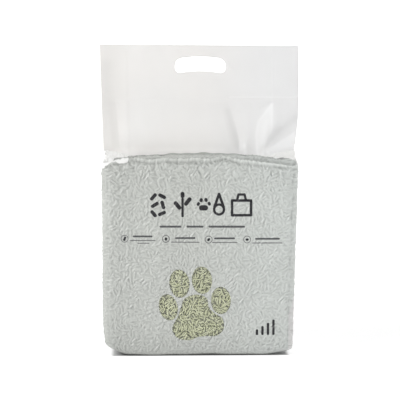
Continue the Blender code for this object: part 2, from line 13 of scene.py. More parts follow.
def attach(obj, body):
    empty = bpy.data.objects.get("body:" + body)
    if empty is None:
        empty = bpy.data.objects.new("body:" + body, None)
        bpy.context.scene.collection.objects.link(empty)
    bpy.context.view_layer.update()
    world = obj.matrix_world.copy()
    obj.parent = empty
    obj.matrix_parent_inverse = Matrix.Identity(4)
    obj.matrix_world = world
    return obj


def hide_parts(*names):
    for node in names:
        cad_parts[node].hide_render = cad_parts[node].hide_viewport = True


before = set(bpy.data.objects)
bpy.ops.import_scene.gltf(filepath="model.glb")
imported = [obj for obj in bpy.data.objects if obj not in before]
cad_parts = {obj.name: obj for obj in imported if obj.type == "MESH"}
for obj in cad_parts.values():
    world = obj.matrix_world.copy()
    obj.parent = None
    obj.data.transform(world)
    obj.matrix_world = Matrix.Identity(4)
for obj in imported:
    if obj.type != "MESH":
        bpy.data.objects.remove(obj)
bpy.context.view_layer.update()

# Sizes shared with the part, in metres.
PLY = 0.0003
BRICK_WIDTH = 0.244
BRICK_DEPTH = 0.098
BRICK_HEIGHT = 0.245
EDGE_RADIUS = 0.01
BASE_NARROWING = 0.009
BASE_SHIFT = -0.003
FACE_CROWN = 0.003
FACE_LUMP = 0.0005
LUMP_PITCH = 0.13
ROOF_RISE = 0.004
CORNER_DROP = 0.005
HEEL_LIFT = 0.008
VALLEY_DEPTH = 0.0025
VALLEY_HALF_WIDTH = 0.014
HEADER_HEIGHT = 0.138
HEADER_SPREAD = 0.0035
HEADER_LEFT_TUCK = 0.001
HEADER_RIGHT_TUCK = 0.0035
HEADER_PULL_IN = 0.056
HEADER_WAVE = 0.0018
GUSSET_TUCK = 0.0345
FOOT_FLARE = 0.0025
FOOT_HEIGHT = 0.006
SEAL_BELOW_TOP = 0.066
SEAL_HEIGHT = 0.006
SEAL_STEP = 0.0002
SEAM_WIDTH = 0.013
SEAM_STEP = 0.0005
SHOULDER_REACH = 0.034
SHOULDER_RISE = 0.011
GUSSET_NOTCH = 0.022
SLOT_LENGTH = 0.064
SLOT_HEIGHT = 0.0185
SLOT_ARCH = 0.0035
SLOT_BELOW_TOP = 0.0273
SLOT_SHIFT = 0.0013
# These three are drawn a little different from the part's.
TOP_SLOPE = 0.0016
SHOULDER_INSET = 0.001
SLOT_CORNER = 0.0078
# Toes of the paw: x and z of the middle, half width, half height and lean in degrees. Then the pad.
TOES = (
    (-0.0393, 0.0615, 0.0119, 0.0167, 16.0), (-0.0253, 0.091, 0.0128, 0.0177, 8.0),
    (0.0032, 0.0951, 0.0129, 0.0173, 6.0), (0.0277, 0.0697, 0.0127, 0.0171, 4.0),
)
PAD_OUTLINE = (
    (-0.0046, 0.0774), (0.0093, 0.073), (0.0126, 0.0615), (0.0204, 0.0536), (0.0303, 0.0468),
    (0.032, 0.034), (0.0235, 0.0256), (0.0111, 0.025), (0.0002, 0.0243), (-0.0122, 0.02), (-0.0277, 0.0234),
    (-0.034, 0.035), (-0.0274, 0.0493), (-0.0231, 0.061), (-0.0189, 0.072),
)
# Folds of the empty head, placed a little finer than the part's. Each row of a fold is a height above the
# roof's ridge, and there the fold's x, its reach to the left and to the right, and how far it stands back.
HEADER_FOLDS = (
    (
        (0.0, 0.0794, 0.0057, 0.005, -0.0007), (0.008, 0.0807, 0.0076, 0.006, -0.001),
        (0.021, 0.0845, 0.0127, 0.012, -0.002), (0.035, 0.0921, 0.0203, 0.016, -0.003),
        (0.055, 0.0927, 0.0095, 0.012, -0.0014), (0.066, 0.0925, 0.001, 0.01, 0.0),
    ),
    (
        (0.0, 0.082, 0.004, 0.006, 0.0), (0.011, 0.0974, 0.012, 0.03, 0.0024),
        (0.025, 0.117, 0.027, 0.04, 0.005), (0.04, 0.138, 0.04, 0.02, 0.0065),
        (0.062, 0.166, 0.045, 0.02, 0.006), (0.07, 0.175, 0.045, 0.02, 0.0),
    ),
    (
        (0.0, 0.053, 0.008, 0.006, 0.0012), (0.006, 0.0528, 0.01, 0.006, 0.0022),
        (0.02, 0.0516, 0.013, 0.012, 0.0028), (0.056, 0.04, 0.012, 0.02, 0.0013),
        (0.075, 0.034, 0.01, 0.01, 0.0),
    ),
    (
        (0.0, -0.104, 0.01, 0.012, 0.0012), (0.04, -0.106, 0.01, 0.014, 0.0015),
        (0.09, -0.109, 0.01, 0.014, 0.0),
    ),
)
ROOF_RIDGE = BRICK_HEIGHT + ROOF_RISE
BAG_HEIGHT = ROOF_RIDGE + HEADER_HEIGHT
FLAT_WIDTH = BRICK_WIDTH + 2.0 * HEADER_SPREAD
TENT_POWER = 1.15
TENT_RISE = SHOULDER_RISE - ROOF_RISE + CORNER_DROP * (1.0 - 2.0 * SHOULDER_INSET / BRICK_WIDTH) ** 4

# The scene's own detail of the head.
# Finer creases: a line of x and height, how far it stands back, and its half width.
HEAD_CREASES = (
    (((0.0921, 0.37), (0.0923, 0.314)), -0.00035, 0.001),
    (((0.0935, 0.37), (0.0937, 0.314)), 0.00025, 0.0012),
    (((0.0896, 0.313), (0.0782, 0.3068)), 0.0005, 0.0022),
    (((0.0674, 0.3125), (0.0678, 0.305)), 0.00035, 0.0018),
    (((0.0605, 0.249), (0.06, 0.26)), -0.0007, 0.0026),
    (((0.0865, 0.253), (0.0895, 0.25)), -0.0009, 0.0012),
    (((0.076, 0.25), (0.0755, 0.264)), -0.0004, 0.0012),
    (((0.08, 0.252), (0.085, 0.27), (0.086, 0.288)), -0.0003, 0.0014),
    (((-0.028, 0.383), (-0.02, 0.378), (-0.011, 0.3755)), 0.0005, 0.0022),
    (((0.0345, 0.364), (0.04, 0.357)), -0.0007, 0.002),
)
# Painted highlights and painted shade along the head's folds, lighter where the strength is above 0 and
# darker below it: a line of x and height, its strength and its half width.
HEAD_FOLD_SHADING = (
    (((0.0921, 0.3132), (0.0832, 0.3017), (0.0751, 0.2916), (0.0722, 0.274), (0.0738, 0.2486)), 0.8, 0.0016),
    (((0.0921, 0.3132), (0.0915, 0.2815), (0.0845, 0.2676), (0.0795, 0.2486)), 0.9, 0.0016),
    (((0.0885, 0.304), (0.08, 0.275), (0.0765, 0.25)), 0.7, 0.006),
    (((0.0576, 0.261), (0.058, 0.251)), 0.9, 0.0018),
    (((0.087, 0.253), (0.0885, 0.25)), 1.2, 0.0012),
    (((0.039, 0.322), (0.123, 0.322)), 1.0, 0.0008),
    (((0.092, 0.37), (0.0921, 0.314)), 0.3, 0.0014),
    (((-0.105, 0.2545), (-0.02, 0.256), (0.03, 0.255)), 0.6, 0.003),
    (((0.123, 0.296), (0.104, 0.282), (0.092, 0.27)), -0.9, 0.005),
    (((0.036, 0.305), (0.043, 0.28), (0.05, 0.256)), -0.8, 0.0035),
    (((-0.118, 0.36), (-0.117, 0.26)), -0.8, 0.01),
)
FOLD_GAIN = 1.2
SEAL_LIP = 0.0006
HEAD_STRETCH = 0.0011

# The pellets, and the film drawn over them.
PELLET_RADIUS = 0.00092
PELLET_GAP = 0.0002
PELLET_LENGTHS = (0.0038, 0.0096)
PELLET_FLOOR = -0.0013
PELLET_BEND = 0.05
PELLET_CUT = 0.35
PELLET_BREAK = 0.22
# Deeper pellets behind the windows: how far the layers lie from the film, and how many are tried in each.
DEEP_LAYERS = (((-0.0017, -0.0011), 6400), ((-0.0026, -0.0018), 5600))
DEEP_LENGTHS = (0.004, 0.0096)
WINDOW_MARGIN = 0.01
FILM_SAG = 0.0001
RELIEF_GAIN = 1.3
RELIEF_FLATTENING = 0.3
FILM_LIFT = 0.0004
SEED = 11
SHARP = math.radians(50.0)
# Creases of the film: how many, the middle and spread of their lean or None for any way, lengths, heights,
# half widths, and the share that stands up where the rest are dents.
UPRIGHT = 0.5 * math.pi
WALL_CREASES = (150, None, (0.01, 0.034), (0.00024, 0.00062), (0.0011, 0.0024), 0.62)
BRIM_CREASES = (380, (UPRIGHT, 0.8), (0.008, 0.026), (-0.0011, 0.0015), (0.0009, 0.002))
ROOF_CREASES = (70, (0.0, 0.25), (0.014, 0.04), (-0.0012, 0.0014), (0.0011, 0.0019))
CORNER_CREASES = (340, (0.0, 0.5), (0.005, 0.014), (0.0003, 0.0008), (0.0009, 0.0016), 0.6)
BASE_CREASES = (160, (UPRIGHT, 0.6), (0.005, 0.016), (-0.0009, 0.001), (0.0008, 0.0018))

# The unrolled film: s runs round the brick from the front left corner, t up from the edge of the base.
CELL = 0.0005
AROUND = 2.0 * (BRICK_WIDTH + BRICK_DEPTH)
ARC = EDGE_RADIUS * math.pi / 2.0
SKIRT = ARC - EDGE_RADIUS
ROOF_EDGE = 2.0 * ARC + BRICK_HEIGHT - 2.0 * EDGE_RADIUS
FIELD_TOP = ROOF_EDGE + BRICK_DEPTH / 2.0 - EDGE_RADIUS + 0.002
FRONT_LIMIT = 0.0015 - BRICK_DEPTH / 2.0 + EDGE_RADIUS
# A broken crease beside each vertical edge of the front, and a weaker ridge beside it on the sides: where
# round the film, and how much of the depth.
EDGE_CREASES = (
    (0.0062, 1.6), (BRICK_WIDTH - 0.0044, 1.5), (BRICK_WIDTH + 0.006, -0.6), (AROUND - 0.007, -0.6),
)
EDGE_CREASE_DEPTH = 0.0009
EDGE_CREASE_HALF_WIDTH = 0.0011
# Cells of the skin and of the litter: across the front, a side, up the walls, round a corner, over an arc
# and from the roof's edge to its ridge.
SKIN_CELLS = (324, 64, 284, 10, 16, 36)
LITTER_CELLS = (60, 16, 60, 4, 4, 6)
LITTER_INSET = 0.0046
BASE_CELLS = 6
# How the film follows the solid's: the grid it is averaged on, how far it is looked for, and the share kept.
SOLID_CELL = 0.001
SOLID_REACH = 0.003
SOLID_BLUR = 6
SOLID_SHARE = 0.7

# The upper edge of the print as it is seen from the front: x, then height on the front face's plane.
PRINT_EDGE = (
    (-0.122, 0.234), (-0.1151, 0.2378), (-0.1101, 0.2402), (-0.1052, 0.241), (-0.1002, 0.24),
    (-0.0952, 0.2402), (-0.092, 0.2412), (-0.0896, 0.244), (-0.0862, 0.2487), (-0.0628, 0.2505),
    (-0.0307, 0.2526), (0.0126, 0.2534), (0.0473, 0.2516), (0.0721, 0.2495), (0.0932, 0.2461),
    (0.1057, 0.2449), (0.1106, 0.2441), (0.1156, 0.243), (0.1206, 0.2395),
)
# The same on the roof behind the crest, where the print reaches further to the left.
ROOF_PRINT_EDGE = (
    (-0.111, 0.24), (-0.106, 0.2462), (-0.096, 0.248), (-0.0862, 0.249), *PRINT_EDGE[9:15], (0.1206, 0.2435),
)
# The crest, a rolled fold round the brick's top: distance along the film, and height from the roof's edge.
CREST_LINE = (
    (0.0, -0.009), (0.012, -0.0069), (0.022, -0.0054), (0.032, -0.002), (0.037, -0.001), (0.047, -0.0035),
    (0.059, -0.0066), (0.078, -0.005), (0.115, -0.0051), (0.133, -0.0063), (0.152, 0.0005),
    (0.171, -0.0071), (0.189, -0.0088), (0.208, -0.0109), (0.228, -0.0124), (0.246, -0.012),
    (0.262, -0.007), (0.29, -0.005), (0.325, -0.008), (0.35, -0.004), (0.395, -0.0065), (0.44, -0.003),
    (0.48, -0.0075), (0.53, -0.0045), (0.585, -0.007), (0.615, -0.0035), (0.655, -0.0065), (0.684, -0.009),
)
CREST_HEIGHT = 0.0019
CREST_HALF_WIDTH = 0.0015
# Creases at the upper corners as they are seen from the front: a line of x and height, rise and half width.
CORNER_FOLDS = (
    (((-0.119, 0.254), (-0.1101, 0.25), (-0.1002, 0.2482), (-0.0915, 0.2474)), -0.0016, 0.0014),
    (((-0.119, 0.25), (-0.113, 0.2487), (-0.1052, 0.2478)), 0.001, 0.0012),
    (((-0.118, 0.24), (-0.109, 0.2424), (-0.099, 0.243), (-0.09, 0.2452)), 0.0017, 0.0013),
    (((-0.09, 0.2436), (-0.089, 0.237)), 0.001, 0.0009),
    (((0.08, 0.2432), (0.095, 0.24), (0.115, 0.2362)), -0.001, 0.0012),
    (((0.096, 0.2462), (0.108, 0.244), (0.118, 0.242)), 0.001, 0.0013),
)
SIGHT_SLOPE = 0.034
# Over what height the relief fades to the base, and how far corners are filled and the left heel drawn in.
BASE_FADE = 0.014
SHOULDER_FILL = 0.006
LEFT_FILL = 0.62
HEEL_TUCK = 0.0105
# How high the lower corners, left and right, and the rest of the rim are lifted, and how fast that fades.
HEEL_LIFTS = (0.0034, 0.0036)
RIM_LIFT = 0.0011
LIFT_HEIGHT = 0.011
# Painted shade and highlight on the film: how light it is by its hollow, and how much the painted light
# and shade at its crest, foot, top and left side and the painted shadow along the print's edge on the roof
# change that.
HOLLOW_PAINTED_SHADE = ((-0.0004, 0.0, 0.0006), (1.05, 1.0, 0.86))
CREST_PAINTED_LIGHT = 0.26
FOOT_SHADE = 0.11
TOP_SHADE = 0.035
LEFT_SHADE = 0.035
CREVICE_PAINTED_SHADOW = 0.6
GUSSET_RELIEF = 0.22

# The camera, fitted to the photo, and the panels of light: name, place, height aimed at, size and power.
CAMERA_SPOT = (-0.08698, -2.19417, 0.32431)
CAMERA_AIM = (0.0, 0.0, 0.19)
CAMERA_LENS = 156.3
CAMERA_SHIFT = (0.0019, 0.0034)
WORLD_LIGHT = 0.08
LIGHTS = (
    ("key", (-2.1, -1.65, 1.9), 0.2, 1.0, 88.0),
    ("side", (2.2, -0.6, 0.9), 0.18, 1.4, 30.0),
    ("rear", (0.9, 2.4, 1.6), 0.15, 1.4, 10.0),
)


def clip(value, low=0.0, high=1.0):
    """Values held between two limits."""
    return np.minimum(np.maximum(value, low), high)


def smooth(value):
    """A soft step from 0 to 1."""
    value = clip(value)
    return value * value * (3.0 - 2.0 * value)


def stacked(*parts):
    """Arrays side by side, as the coordinates of points."""
    return np.stack(parts, axis=-1)


def settle(points):
    """Where points of the straight brick lie once the pack has slumped and been drawn tight."""
    x, y, z = points[..., 0], points[..., 1], points[..., 2]
    rise = clip(z / BRICK_HEIGHT)
    side = clip(2.0 * x / BRICK_WIDTH, -1.0, 1.0)
    front = clip(2.0 * y / BRICK_DEPTH, -1.0, 1.0)
    belly = np.sin(math.pi * rise)
    lump = np.sin(2.0 * math.pi * (x + 0.6 * z) / LUMP_PITCH)
    lump = lump * np.sin(2.0 * math.pi * (z - 0.4 * x) / LUMP_PITCH)
    crown = FACE_CROWN * belly * (1.0 - side * side)
    valley = VALLEY_DEPTH * clip(1.0 - np.abs(y) / VALLEY_HALF_WIDTH)
    near_roof = clip((rise - 0.85) / 0.15) ** 2
    near_base = (1.0 - rise) ** 12
    heel = clip((-side - 0.8) / 0.2) ** 2
    narrowed = x * (1.0 - (1.0 - rise) * BASE_NARROWING / BRICK_WIDTH) + BASE_SHIFT * (1.0 - rise)
    sloped = near_roof * (ROOF_RISE * (1.0 - np.abs(front)) - CORNER_DROP * side**4)
    return stacked(
        narrowed - side * valley,
        y + front * (crown + FACE_LUMP * belly * lump),
        z + sloped + near_base * HEEL_LIFT * heel,
    )


def toe_outline(toe, sides=72):
    """A leaning oval."""
    x, z, half_width, half_height, lean = toe
    angle = 2.0 * math.pi * np.arange(sides) / sides
    c, d = math.cos(math.radians(lean)), math.sin(math.radians(lean))
    across, up = half_width * np.cos(angle), half_height * np.sin(angle)
    return stacked(x + across * c - up * d, z + across * d + up * c)


def pad_outline(steps=10):
    """A smooth closed curve through the pad's points."""
    t = (np.arange(steps) / steps)[None, :, None]
    a, b, c, d = (np.roll(np.array(PAD_OUTLINE), turn, 0)[:, None, :] for turn in (1, 0, -1, -2))
    square = (2.0 * a - 5.0 * b + 4.0 * c - d) * t**2
    curve = 0.5 * (2.0 * b + (c - a) * t + square + (3.0 * b - a - 3.0 * c + d) * t**3)
    return curve.reshape(-1, 2)


def slot_outline(steps=8, edge_steps=12):
    """The carrying slot: a rounded rectangle, arched upwards in the middle."""
    across, up = SLOT_LENGTH / 2.0 - SLOT_CORNER, SLOT_HEIGHT / 2.0 - SLOT_CORNER
    points = []
    for quarter, (sx, sz) in enumerate(((1, 1), (-1, 1), (-1, -1), (1, -1))):
        for i in range(steps + 1):
            angle = 0.5 * math.pi * (quarter + i / steps)
            c, d = math.cos(angle), math.sin(angle)
            points.append((sx * across + SLOT_CORNER * c, sz * up + SLOT_CORNER * d))
        if sx == sz:
            runs = [sx * across * (1.0 - i / edge_steps) for i in range(1, 2 * edge_steps)]
            points += [(run, sz * SLOT_HEIGHT / 2.0) for run in runs]
    x, z = np.array(points).T
    level = BAG_HEIGHT - SLOT_BELOW_TOP
    return stacked(x + SLOT_SHIFT, z + level + SLOT_ARCH * (1.0 - (2.0 * x / SLOT_LENGTH) ** 2))


WINDOWS = [pad_outline()] + [toe_outline(toe) for toe in TOES]


def outline_depth(spots, outlines):
    """Signed distance of each spot to the nearest outline, negative inside. Far spots keep a large one."""
    flat = spots.reshape(-1, 2)
    result = np.full(len(flat), 1.0)
    for outline in outlines:
        low, high = outline.min(0) - 0.012, outline.max(0) + 0.012
        near = np.nonzero(np.all((flat > low) & (flat < high), axis=1))[0]
        end = np.roll(outline, -1, 0)
        along = end - outline
        offset = flat[near, None, :] - outline[None]
        share = clip((offset * along).sum(-1) / (along * along).sum(-1))
        gap = np.linalg.norm(offset - share[..., None] * along, axis=-1).min(1)
        x, z = flat[near, 0:1], flat[near, 1:2]
        spans = (outline[:, 1] > z) != (end[:, 1] > z)
        rise = np.where(np.abs(along[:, 1]) < 1e-12, 1e-12, along[:, 1])
        crossing = outline[:, 0] + (z - outline[:, 1]) * along[:, 0] / rise
        within = (spans & (x < crossing)).sum(1) % 2 == 1
        result[near] = np.minimum(result[near], np.where(within, -gap, gap))
    return result.reshape(spots.shape[:-1])


def snap(spots, depth):
    """Moves the points of a grid onto an outline where the grid's lines cross it."""
    target, best = spots.copy(), np.full(depth.shape, np.inf)
    whole, head, tail = slice(None), slice(None, -1), slice(1, None)
    for first, second in (((head, whole), (tail, whole)), ((whole, head), (whole, tail))):
        a, b = depth[first], depth[second]
        cross = a * b < 0.0
        share = np.where(cross, a / np.where(cross, a - b, 1.0), 0.0)
        spot = spots[first] + share[..., None] * (spots[second] - spots[first])
        for end, near in ((first, cross & (share <= 0.5)), (second, cross & (share > 0.5))):
            gap = np.linalg.norm(spot - spots[end], axis=-1)
            closer = near & (gap < best[end])
            best[end][closer] = gap[closer]
            target[end][closer] = spot[closer]
    return target, np.where(np.isfinite(best), 0.0, depth)


def split_cells(index, depth):
    """Faces of a grid that was snapped to an outline, each inside or outside it, and which are inside."""

    def corners(grid):
        """The four corners of every cell."""
        return stacked(grid[:-1, :-1], grid[:-1, 1:], grid[1:, 1:], grid[1:, :-1]).reshape(-1, 4)

    cells, level = corners(index), corners(depth)
    mixed = (level.min(1) < 0.0) & (level.max(1) > 0.0)
    faces = [tuple(cell) for cell in cells[~mixed]]
    inside = list(level[~mixed].min(1) < 0.0)
    for c, d in zip(cells[mixed], level[mixed]):
        turn = 0 if d[0] == 0.0 else 1
        for k in (turn, turn + 2):
            faces.append((c[k % 4], c[(k + 1) % 4], c[(k + 2) % 4]))
            inside.append(d[(k + 1) % 4] < 0.0)
    return faces, inside


class Field:
    """Heights over the unrolled film, on a grid that closes round the brick."""

    def __init__(self, floor):
        self.rows, self.columns = round(FIELD_TOP / CELL), round(AROUND / CELL)
        self.height = np.full((self.rows, self.columns), floor)
        self.taken = np.zeros(self.height.shape, bool)
        self.hollow = None

    def window(self, s, t, reach_s, reach_t):
        """Indices and places of the cells near a spot."""
        i = np.arange(math.floor((t - reach_t) / CELL), math.ceil((t + reach_t) / CELL) + 1)
        i = i[(i >= 0) & (i < self.rows)]
        j = np.arange(math.floor((s - reach_s) / CELL), math.ceil((s + reach_s) / CELL) + 1)
        return np.ix_(i, j % self.columns), (i * CELL - t)[:, None], (j * CELL - s)[None, :]

    def blur(self, values, times=1):
        """Values averaged with their neighbours."""
        for _ in range(times):
            values = 0.25 * np.roll(values, 1, 1) + 0.5 * values + 0.25 * np.roll(values, -1, 1)
            values = np.concatenate((values[:1], values, values[-1:]))
            values = 0.25 * values[:-2] + 0.5 * values[1:-1] + 0.25 * values[2:]
        return values

    def ridge(self, s0, t0, s1, t1, height, half_width):
        """Adds one soft crease, high in its middle and fading to its ends."""
        half = 0.5 * math.hypot(s1 - s0, t1 - t0)
        if half < CELL:
            return
        axis = ((s1 - s0) / (2.0 * half), (t1 - t0) / (2.0 * half))
        reach = 3.0 * half_width
        reaches = (abs(way) * half + reach for way in axis)
        spot, dt, ds = self.window(0.5 * (s0 + s1), 0.5 * (t0 + t1), *reaches)
        along = ds * axis[0] + dt * axis[1]
        bow = 0.12 * half * (1.0 - (along / half) ** 2)
        off = dt * axis[0] - ds * axis[1] - bow
        fade = clip(1.0 - (along / half) ** 2)
        self.height[spot] += height * fade * np.exp(-((off / half_width) ** 2))

    def sample(self, s, t, values=None):
        """Heights, or other values, at spots between the cells."""
        j, i = s / CELL, clip(t / CELL, 0.0, self.rows - 1.001)
        j0, i0 = np.floor(j).astype(int), np.floor(i).astype(int)
        fj, fi = j - j0, i - i0
        a, b = j0 % self.columns, (j0 + 1) % self.columns
        h = self.height if values is None else values
        lower, upper = (h[row, a] * (1 - fj) + h[row, b] * fj for row in (i0, i0 + 1))
        return lower * (1 - fi) + upper * fi


def flow(s, t):
    """The way neighbouring pellets tend to lie, in radians, turning slowly over the film."""
    turn = 2.0 * math.pi / AROUND
    return (
        1.3 * math.sin(9 * turn * s + 60.0 * t)
        + 1.1 * math.sin(14 * turn * s - 95.0 * t + 1.0)
        + 0.9 * math.sin(23 * turn * s + 40.0 * t + 2.0)
    )


def scatter(field, rng, area, trials, levels, order, lengths=PELLET_LENGTHS):
    """Drops pellets on the film's inside where they fit: s, t, angle, half length, level and slope of each.

    The later trials are shorter pellets, which fill what the long ones leave. Order is the share that
    lies along its neighbours.
    """
    placed = []
    least, most = lengths
    clear = PELLET_RADIUS + 0.5 * PELLET_GAP
    for trial in range(trials):
        half = 0.5 * rng.uniform(least, most if trial < 0.55 * trials else 0.5 * (least + most))
        if trial > 0.8 * trials:
            half = 0.5 * rng.uniform(0.6 * least, least)
        s, t = (rng.uniform(*limits) for limits in area)
        angle = flow(s, t) + rng.normal(0.0, 0.28) if rng.random() < order else rng.uniform(0.0, math.pi)
        level, slope = rng.uniform(*levels), rng.normal(0.0, 0.00022)
        c, d = math.cos(angle), math.sin(angle)
        spot, dt, ds = field.window(s, t, abs(c) * half + 2.2 * clear, abs(d) * half + 2.2 * clear)
        along = ds * c + dt * d
        past = np.maximum(np.abs(along) - (half - 0.4 * PELLET_RADIUS), 0.0)
        gap = np.hypot(past, dt * c - ds * d)
        taken = field.taken[spot]
        if taken[gap < clear].any():
            continue
        taken[gap < clear] = True
        field.taken[spot] = taken
        dome = np.sqrt(np.maximum(PELLET_RADIUS**2 - gap**2, 0.0))
        top = level + slope * along / (half + clear) + dome - PELLET_RADIUS
        under = field.height[spot]
        field.height[spot] = np.where(gap < PELLET_RADIUS, np.maximum(under, top), under)
        placed.append((s, t, angle, half, level, slope))
    return placed


def creases(field, rng, spot, count, lean, lengths, heights, widths, raised=None):
    """Presses creases into the film. Each draws its place, lean, length, height and width in that order."""
    for trial in range(count):
        s, t = spot(trial)
        angle = rng.normal(*lean) if lean else rng.uniform(0.0, math.pi)
        half = 0.5 * rng.uniform(*lengths)
        height = rng.uniform(*heights)
        if raised and rng.random() >= raised:
            height = -height
        ds, dt = half * math.cos(angle), half * math.sin(angle)
        field.ridge(s - ds, t - dt, s + ds, t + dt, height, rng.uniform(*widths))


def film_relief():
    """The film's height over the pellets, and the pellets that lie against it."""
    rng = np.random.default_rng(SEED)
    area = ((0.0, AROUND), (0.0, FIELD_TOP))
    field, lower = Field(PELLET_FLOOR), Field(PELLET_FLOOR)
    pellets = scatter(field, rng, area, trials=44000, levels=(-0.0005, 0.0), order=0.85)
    pellets += scatter(lower, rng, area, trials=36000, levels=(-0.0008, -0.0004), order=0.7)
    under = np.maximum(field.height, lower.height)
    film = field.blur(under)
    for _ in range(5):
        film = np.maximum(under, field.blur(film) - FILM_SAG)
    field.height = RELIEF_GAIN * (field.blur(film) - RELIEF_FLATTENING * field.blur(film, 12))
    field.height -= field.height.mean()

    def around():
        """Any place round the brick."""
        return rng.uniform(0.0, AROUND)

    creases(field, rng, lambda _: (around(), rng.uniform(0.02, ROOF_EDGE)), *WALL_CREASES)
    creases(field, rng, lambda _: (around(), ROOF_EDGE + rng.normal(-0.005, 0.014)), *BRIM_CREASES)
    creases(field, rng, lambda _: (around(), ROOF_EDGE + rng.uniform(-0.003, 0.02)), *ROOF_CREASES)
    for start, depth in EDGE_CREASES:
        s0, t0 = start, 0.018
        while t0 < ROOF_EDGE - 0.014:
            s1, t1 = start + rng.normal(0.0, 0.001), t0 + rng.uniform(0.01, 0.024)
            height = -EDGE_CREASE_DEPTH * depth * rng.uniform(0.3, 1.2)
            field.ridge(s0, t0 - 0.003, s1, t1 + 0.003, height, EDGE_CREASE_HALF_WIDTH)
            s0, t0 = s1, t1
    edges = (0.0, BRICK_WIDTH, BRICK_WIDTH + BRICK_DEPTH, AROUND - BRICK_DEPTH)

    def corner(trial):
        """A place near one of the vertical edges, each in turn."""
        return edges[trial % 4] + rng.normal(0.0, 0.004), rng.uniform(0.008, ROOF_EDGE - 0.004)

    creases(field, rng, corner, *CORNER_CREASES)
    creases(field, rng, lambda _: (around(), rng.normal(0.016, 0.008)), *BASE_CREASES)
    field.hollow = field.blur(field.height, 40) - field.height
    return field, pellets


def solid_relief(spots, out, s, t, shown):
    """How the solid's film rises and falls round its mean, softened, at each point of the bare skin."""
    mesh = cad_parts["film_bag"].data
    tree = BVHTree.FromPolygons([v.co for v in mesh.vertices], [tuple(f.vertices) for f in mesh.polygons])
    total = np.zeros((round(FIELD_TOP / SOLID_CELL) + 1, round(AROUND / SOLID_CELL)))
    count = np.zeros(total.shape)
    i = np.clip(np.round(t / SOLID_CELL).astype(int), 0, total.shape[0] - 1)
    j = np.round(s / SOLID_CELL).astype(int) % total.shape[1]
    found = np.zeros(len(spots))
    met = np.zeros(len(spots), bool)
    for k in np.nonzero(shown)[0]:
        way = Vector(out[k])
        distance = tree.ray_cast(Vector(spots[k]) + way * SOLID_REACH, -way, 2.0 * SOLID_REACH)[3]
        if distance is not None:
            found[k], met[k] = SOLID_REACH - distance, True
    found -= found[met].mean()
    np.add.at(total, (i[met], j[met]), found[met])
    np.add.at(count, (i[shown], j[shown]), 1.0)
    total, count = (Field(0.0).blur(values, SOLID_BLUR) for values in (total, count))
    return (total / np.maximum(count, 1e-3))[i, j], met


def crest(s, t):
    """The rolled fold along the top edge of the brick, as extra height, with a lower one behind it."""
    line = ROOF_EDGE + np.interp(s % AROUND, *np.array(CREST_LINE).T)
    second = ROOF_EDGE + 0.0075 - 0.8 * (line - ROOF_EDGE + 0.006)
    wide = CREST_HALF_WIDTH

    def roll(away, width):
        """One soft fold, highest where away is 0."""
        return np.exp(-((away / width) ** 2))

    return CREST_HEIGHT * (
        roll(t - line, wide)
        - 0.55 * roll(t - line + 2.6 * wide, 1.3 * wide)
        - 0.8 * roll(t - line - 2.7 * wide, 1.4 * wide)
        + 0.55 * roll(t - second, 1.4 * wide)
    )


def shoulder_share(x, end):
    """From 0 to 1 over the shoulder, which ends at this distance from the middle."""
    return clip((np.abs(x) - (end - SHOULDER_REACH)) / SHOULDER_REACH)


def renumbered(faces):
    """The points that some faces use, and the faces with their points counted among those."""
    used = np.unique(np.concatenate([np.array(face) for face in faces]))
    number = np.full(used[-1] + 1, -1)
    number[used] = np.arange(len(used))
    return used, [tuple(int(number[i]) for i in face) for face in faces]


class Shell:
    """Collects grids of points with their places on the film, and joins them into one mesh."""

    def __init__(self):
        self.points, self.places, self.faces, self.inside, self.count = [], [], [], [], 0

    def add(self, points, places):
        """Adds points, and gives their indices."""
        shape = points.shape[:-1]
        flat = points.reshape(-1, 3)
        self.points.append(flat)
        self.places.append(np.broadcast_to(places, shape + (3,)).reshape(-1, 3))
        self.count += len(flat)
        return np.arange(self.count - len(flat), self.count).reshape(shape)

    def grid(self, points, places, depth=None):
        """Adds a grid of points as cells. Where depth is negative they belong to a window."""
        index = self.add(points, places)
        faces, inside = split_cells(index, np.ones(index.shape) if depth is None else depth)
        self.faces += faces
        self.inside += inside
        return index

    def joined(self):
        """Merged points, their places, the faces and which of those are windows."""
        points, places = np.concatenate(self.points), np.concatenate(self.places)
        keys = np.round(points * 1e6).astype(np.int64)
        _, first, inverse = np.unique(keys, axis=0, return_index=True, return_inverse=True)
        inverse = inverse.reshape(-1)
        faces, inside = [], []
        for face, within in zip(self.faces, self.inside):
            merged = []
            for corner in face:
                corner = int(inverse[corner])
                if not merged or merged[-1] != corner:
                    merged.append(corner)
            if merged[0] == merged[-1]:
                merged.pop()
            if len(merged) > 2 and len(set(merged)) == len(merged):
                faces.append(merged)
                inside.append(within)
        return points[first], places[first], faces, inside


def brick_columns(xs, ys, corner_cells):
    """The skin's columns, round the brick from its front left: x and y of the axis that each turns on, its
    turn in degrees, and its place on the film."""
    half_x, half_y = xs[-1], ys[-1]

    def corner(x, y, turn, start):
        """The columns of one rounded corner."""
        return [
            (x, y, turn + 90.0 * k / corner_cells, start + EDGE_RADIUS * (2.0 * k / corner_cells - 1.0))
            for k in range(1, corner_cells)
        ]

    behind = BRICK_WIDTH + BRICK_DEPTH
    left = behind + BRICK_WIDTH
    columns = [(x, -half_y, -90.0, x + BRICK_WIDTH / 2.0) for x in xs]
    columns += corner(half_x, -half_y, -90.0, BRICK_WIDTH)
    columns += [(half_x, y, 0.0, BRICK_WIDTH + y + BRICK_DEPTH / 2.0) for y in ys]
    columns += corner(half_x, half_y, 0.0, behind)
    columns += [(x, half_y, 90.0, behind + BRICK_WIDTH / 2.0 - x) for x in xs[::-2]]
    columns += corner(-half_x, half_y, 90.0, left)
    columns += [(-half_x, y, 180.0, left + BRICK_DEPTH / 2.0 - y) for y in ys[::-1]]
    columns += corner(-half_x, -half_y, 180.0, AROUND)
    return np.array(columns + [columns[0][:3] + (columns[0][3] + AROUND,)]).T


